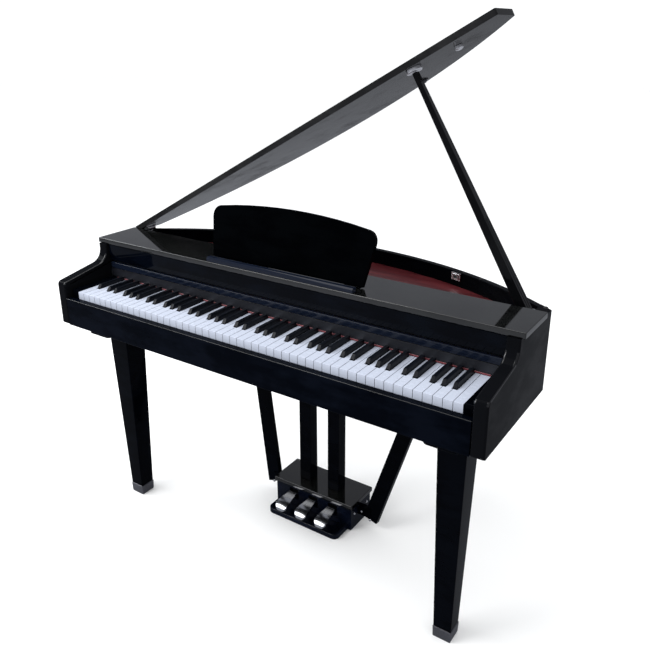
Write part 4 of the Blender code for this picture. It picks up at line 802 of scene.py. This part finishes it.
def rim_keeper(finishes):
    """The keeper that the lid's catch drops into, on the inside of the rear rim."""
    centre, normal = widest_face("rim_catch", (0, -1, 0))
    turn = facing(normal)
    place = centre + 0.0008 * normal
    keeper = block((0.0230, 0.0150, 0.0022))
    cut(keeper, block((0.0130, 0.0075, 0.0100)))
    ease(keeper, FITTING_EDGE)
    put(keeper, place, turn)
    seat(keeper, "rim_keeper_frame", finishes["chrome"], "case")
    hollow = block((0.0120, 0.0065, 0.0010))
    ease(hollow, SHEET_EDGE, 1)
    put(hollow, place, turn)
    seat(hollow, "rim_keeper_hollow", finishes["rubber"], "case")
    across = turn @ Vector((1, 0, 0))
    upwards = turn @ Vector((0, 1, 0))
    reach = across if abs(across.z) < 0.5 else upwards
    spots = [(centre + side * 0.0135 * reach, normal) for side in (1, -1)]
    screws("rim_keeper_screws", spots, 0.0019, finishes["pressed"], "case")


def bolt_dome(radius):
    """A cap nut whose dome rises in three steps, standing on Z = 0."""
    nut = rod(radius, radius * 0.5, (0, 0, radius * 0.25), sides=24)
    top_faces(nut)
    for shrink, lift in ((0.18, 0.22), (0.22, 0.16), (0.26, 0.08)):
        step_in(radius * shrink, radius * lift)
    bpy.ops.object.mode_set(mode="OBJECT")
    return nut


def many(name, first, spots, finish, body, smooth=35.0):
    """Copies of one small piece, each at (place, direction it looks in), joined as one."""
    copies = []
    for place, normal in spots:
        copy = first.copy()
        copy.data = first.data.copy()
        bpy.context.scene.collection.objects.link(copy)
        put(copy, place, facing(normal))
        copies.append(copy)
    bpy.data.objects.remove(first)
    bpy.ops.object.select_all(action="DESELECT")
    for copy in copies:
        copy.select_set(True)
    bpy.context.view_layer.objects.active = copies[0]
    bpy.ops.object.join()
    seat(copies[0], name, finish, body, smooth)


def lyre_fittings(finishes):
    """Cap nuts on the sides of the pedal box and at the feet of the braces."""
    box_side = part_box("pedal_box")[1].x + NUT_GAP
    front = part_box("strut_right")[0].y - NUT_GAP
    sides = [((side * box_side, y, BOX_NUT_Z), (side, 0, 0)) for side in (1, -1) for y in BOX_NUT_Y]
    feet = [((side * x, front, z), (0, -1, 0)) for side in (1, -1) for x, z in BRACE_NUTS]
    for name, spots in (("pedal_box_bolts", sides), ("strut_bolts", feet)):
        many(name, bolt_dome(CAP_NUT), spots, finishes["chrome"], "case", 50.0)


def underside_screws(finishes):
    """Screws that look down from the leg plates and the bottom board."""
    down = (0, 0, -1)
    spots = []
    for side in ("left", "right"):
        low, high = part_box(f"leg_plate_{side}")
        for x in (low.x + PLATE_INSET[0], high.x - PLATE_INSET[0]):
            for y in (low.y + PLATE_INSET[1], high.y - PLATE_INSET[1]):
                spots.append(((x, y, low.z), down))
    screws("leg_plate_screws", spots, 0.0045, finishes["pressed"], "case")
    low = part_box("bottom_board")[0]
    spots = [((x, low.y + BOARD_INSET, low.z), down) for x in BOARD_FRONT_X]
    spots += [((x, y, low.z), down) for x in BOARD_SIDE_X for y in BOARD_SIDE_Y]
    screws("bottom_board_screws", spots, 0.0040, finishes["pressed"], "case")


def lid_fittings(finishes):
    """What the lid rests on, turns on and closes with."""
    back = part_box("side_right")[1].y - BACK_INSET
    for name, x, y, radius in (
        ("rim_bumper_right", BUMPER_X, back, BUMPER_RADIUS),
        ("rim_bumper_left", -BUMPER_X, back, BUMPER_RADIUS),
        ("rim_bumper_middle", *MIDDLE_BUMPER, MIDDLE_BUMPER_RADIUS),
    ):
        bumper(name, (x, y, RIM_TOP), radius, finishes["rubber"])
    ornate_hinge(finishes)
    lid_button(finishes)
    rim_keeper(finishes)


set_camera()
set_studio()
FINISHES = make_finishes()
finish_solids(FINISHES)
lid_fittings(FINISHES)
lyre_fittings(FINISHES)
underside_screws(FINISHES)
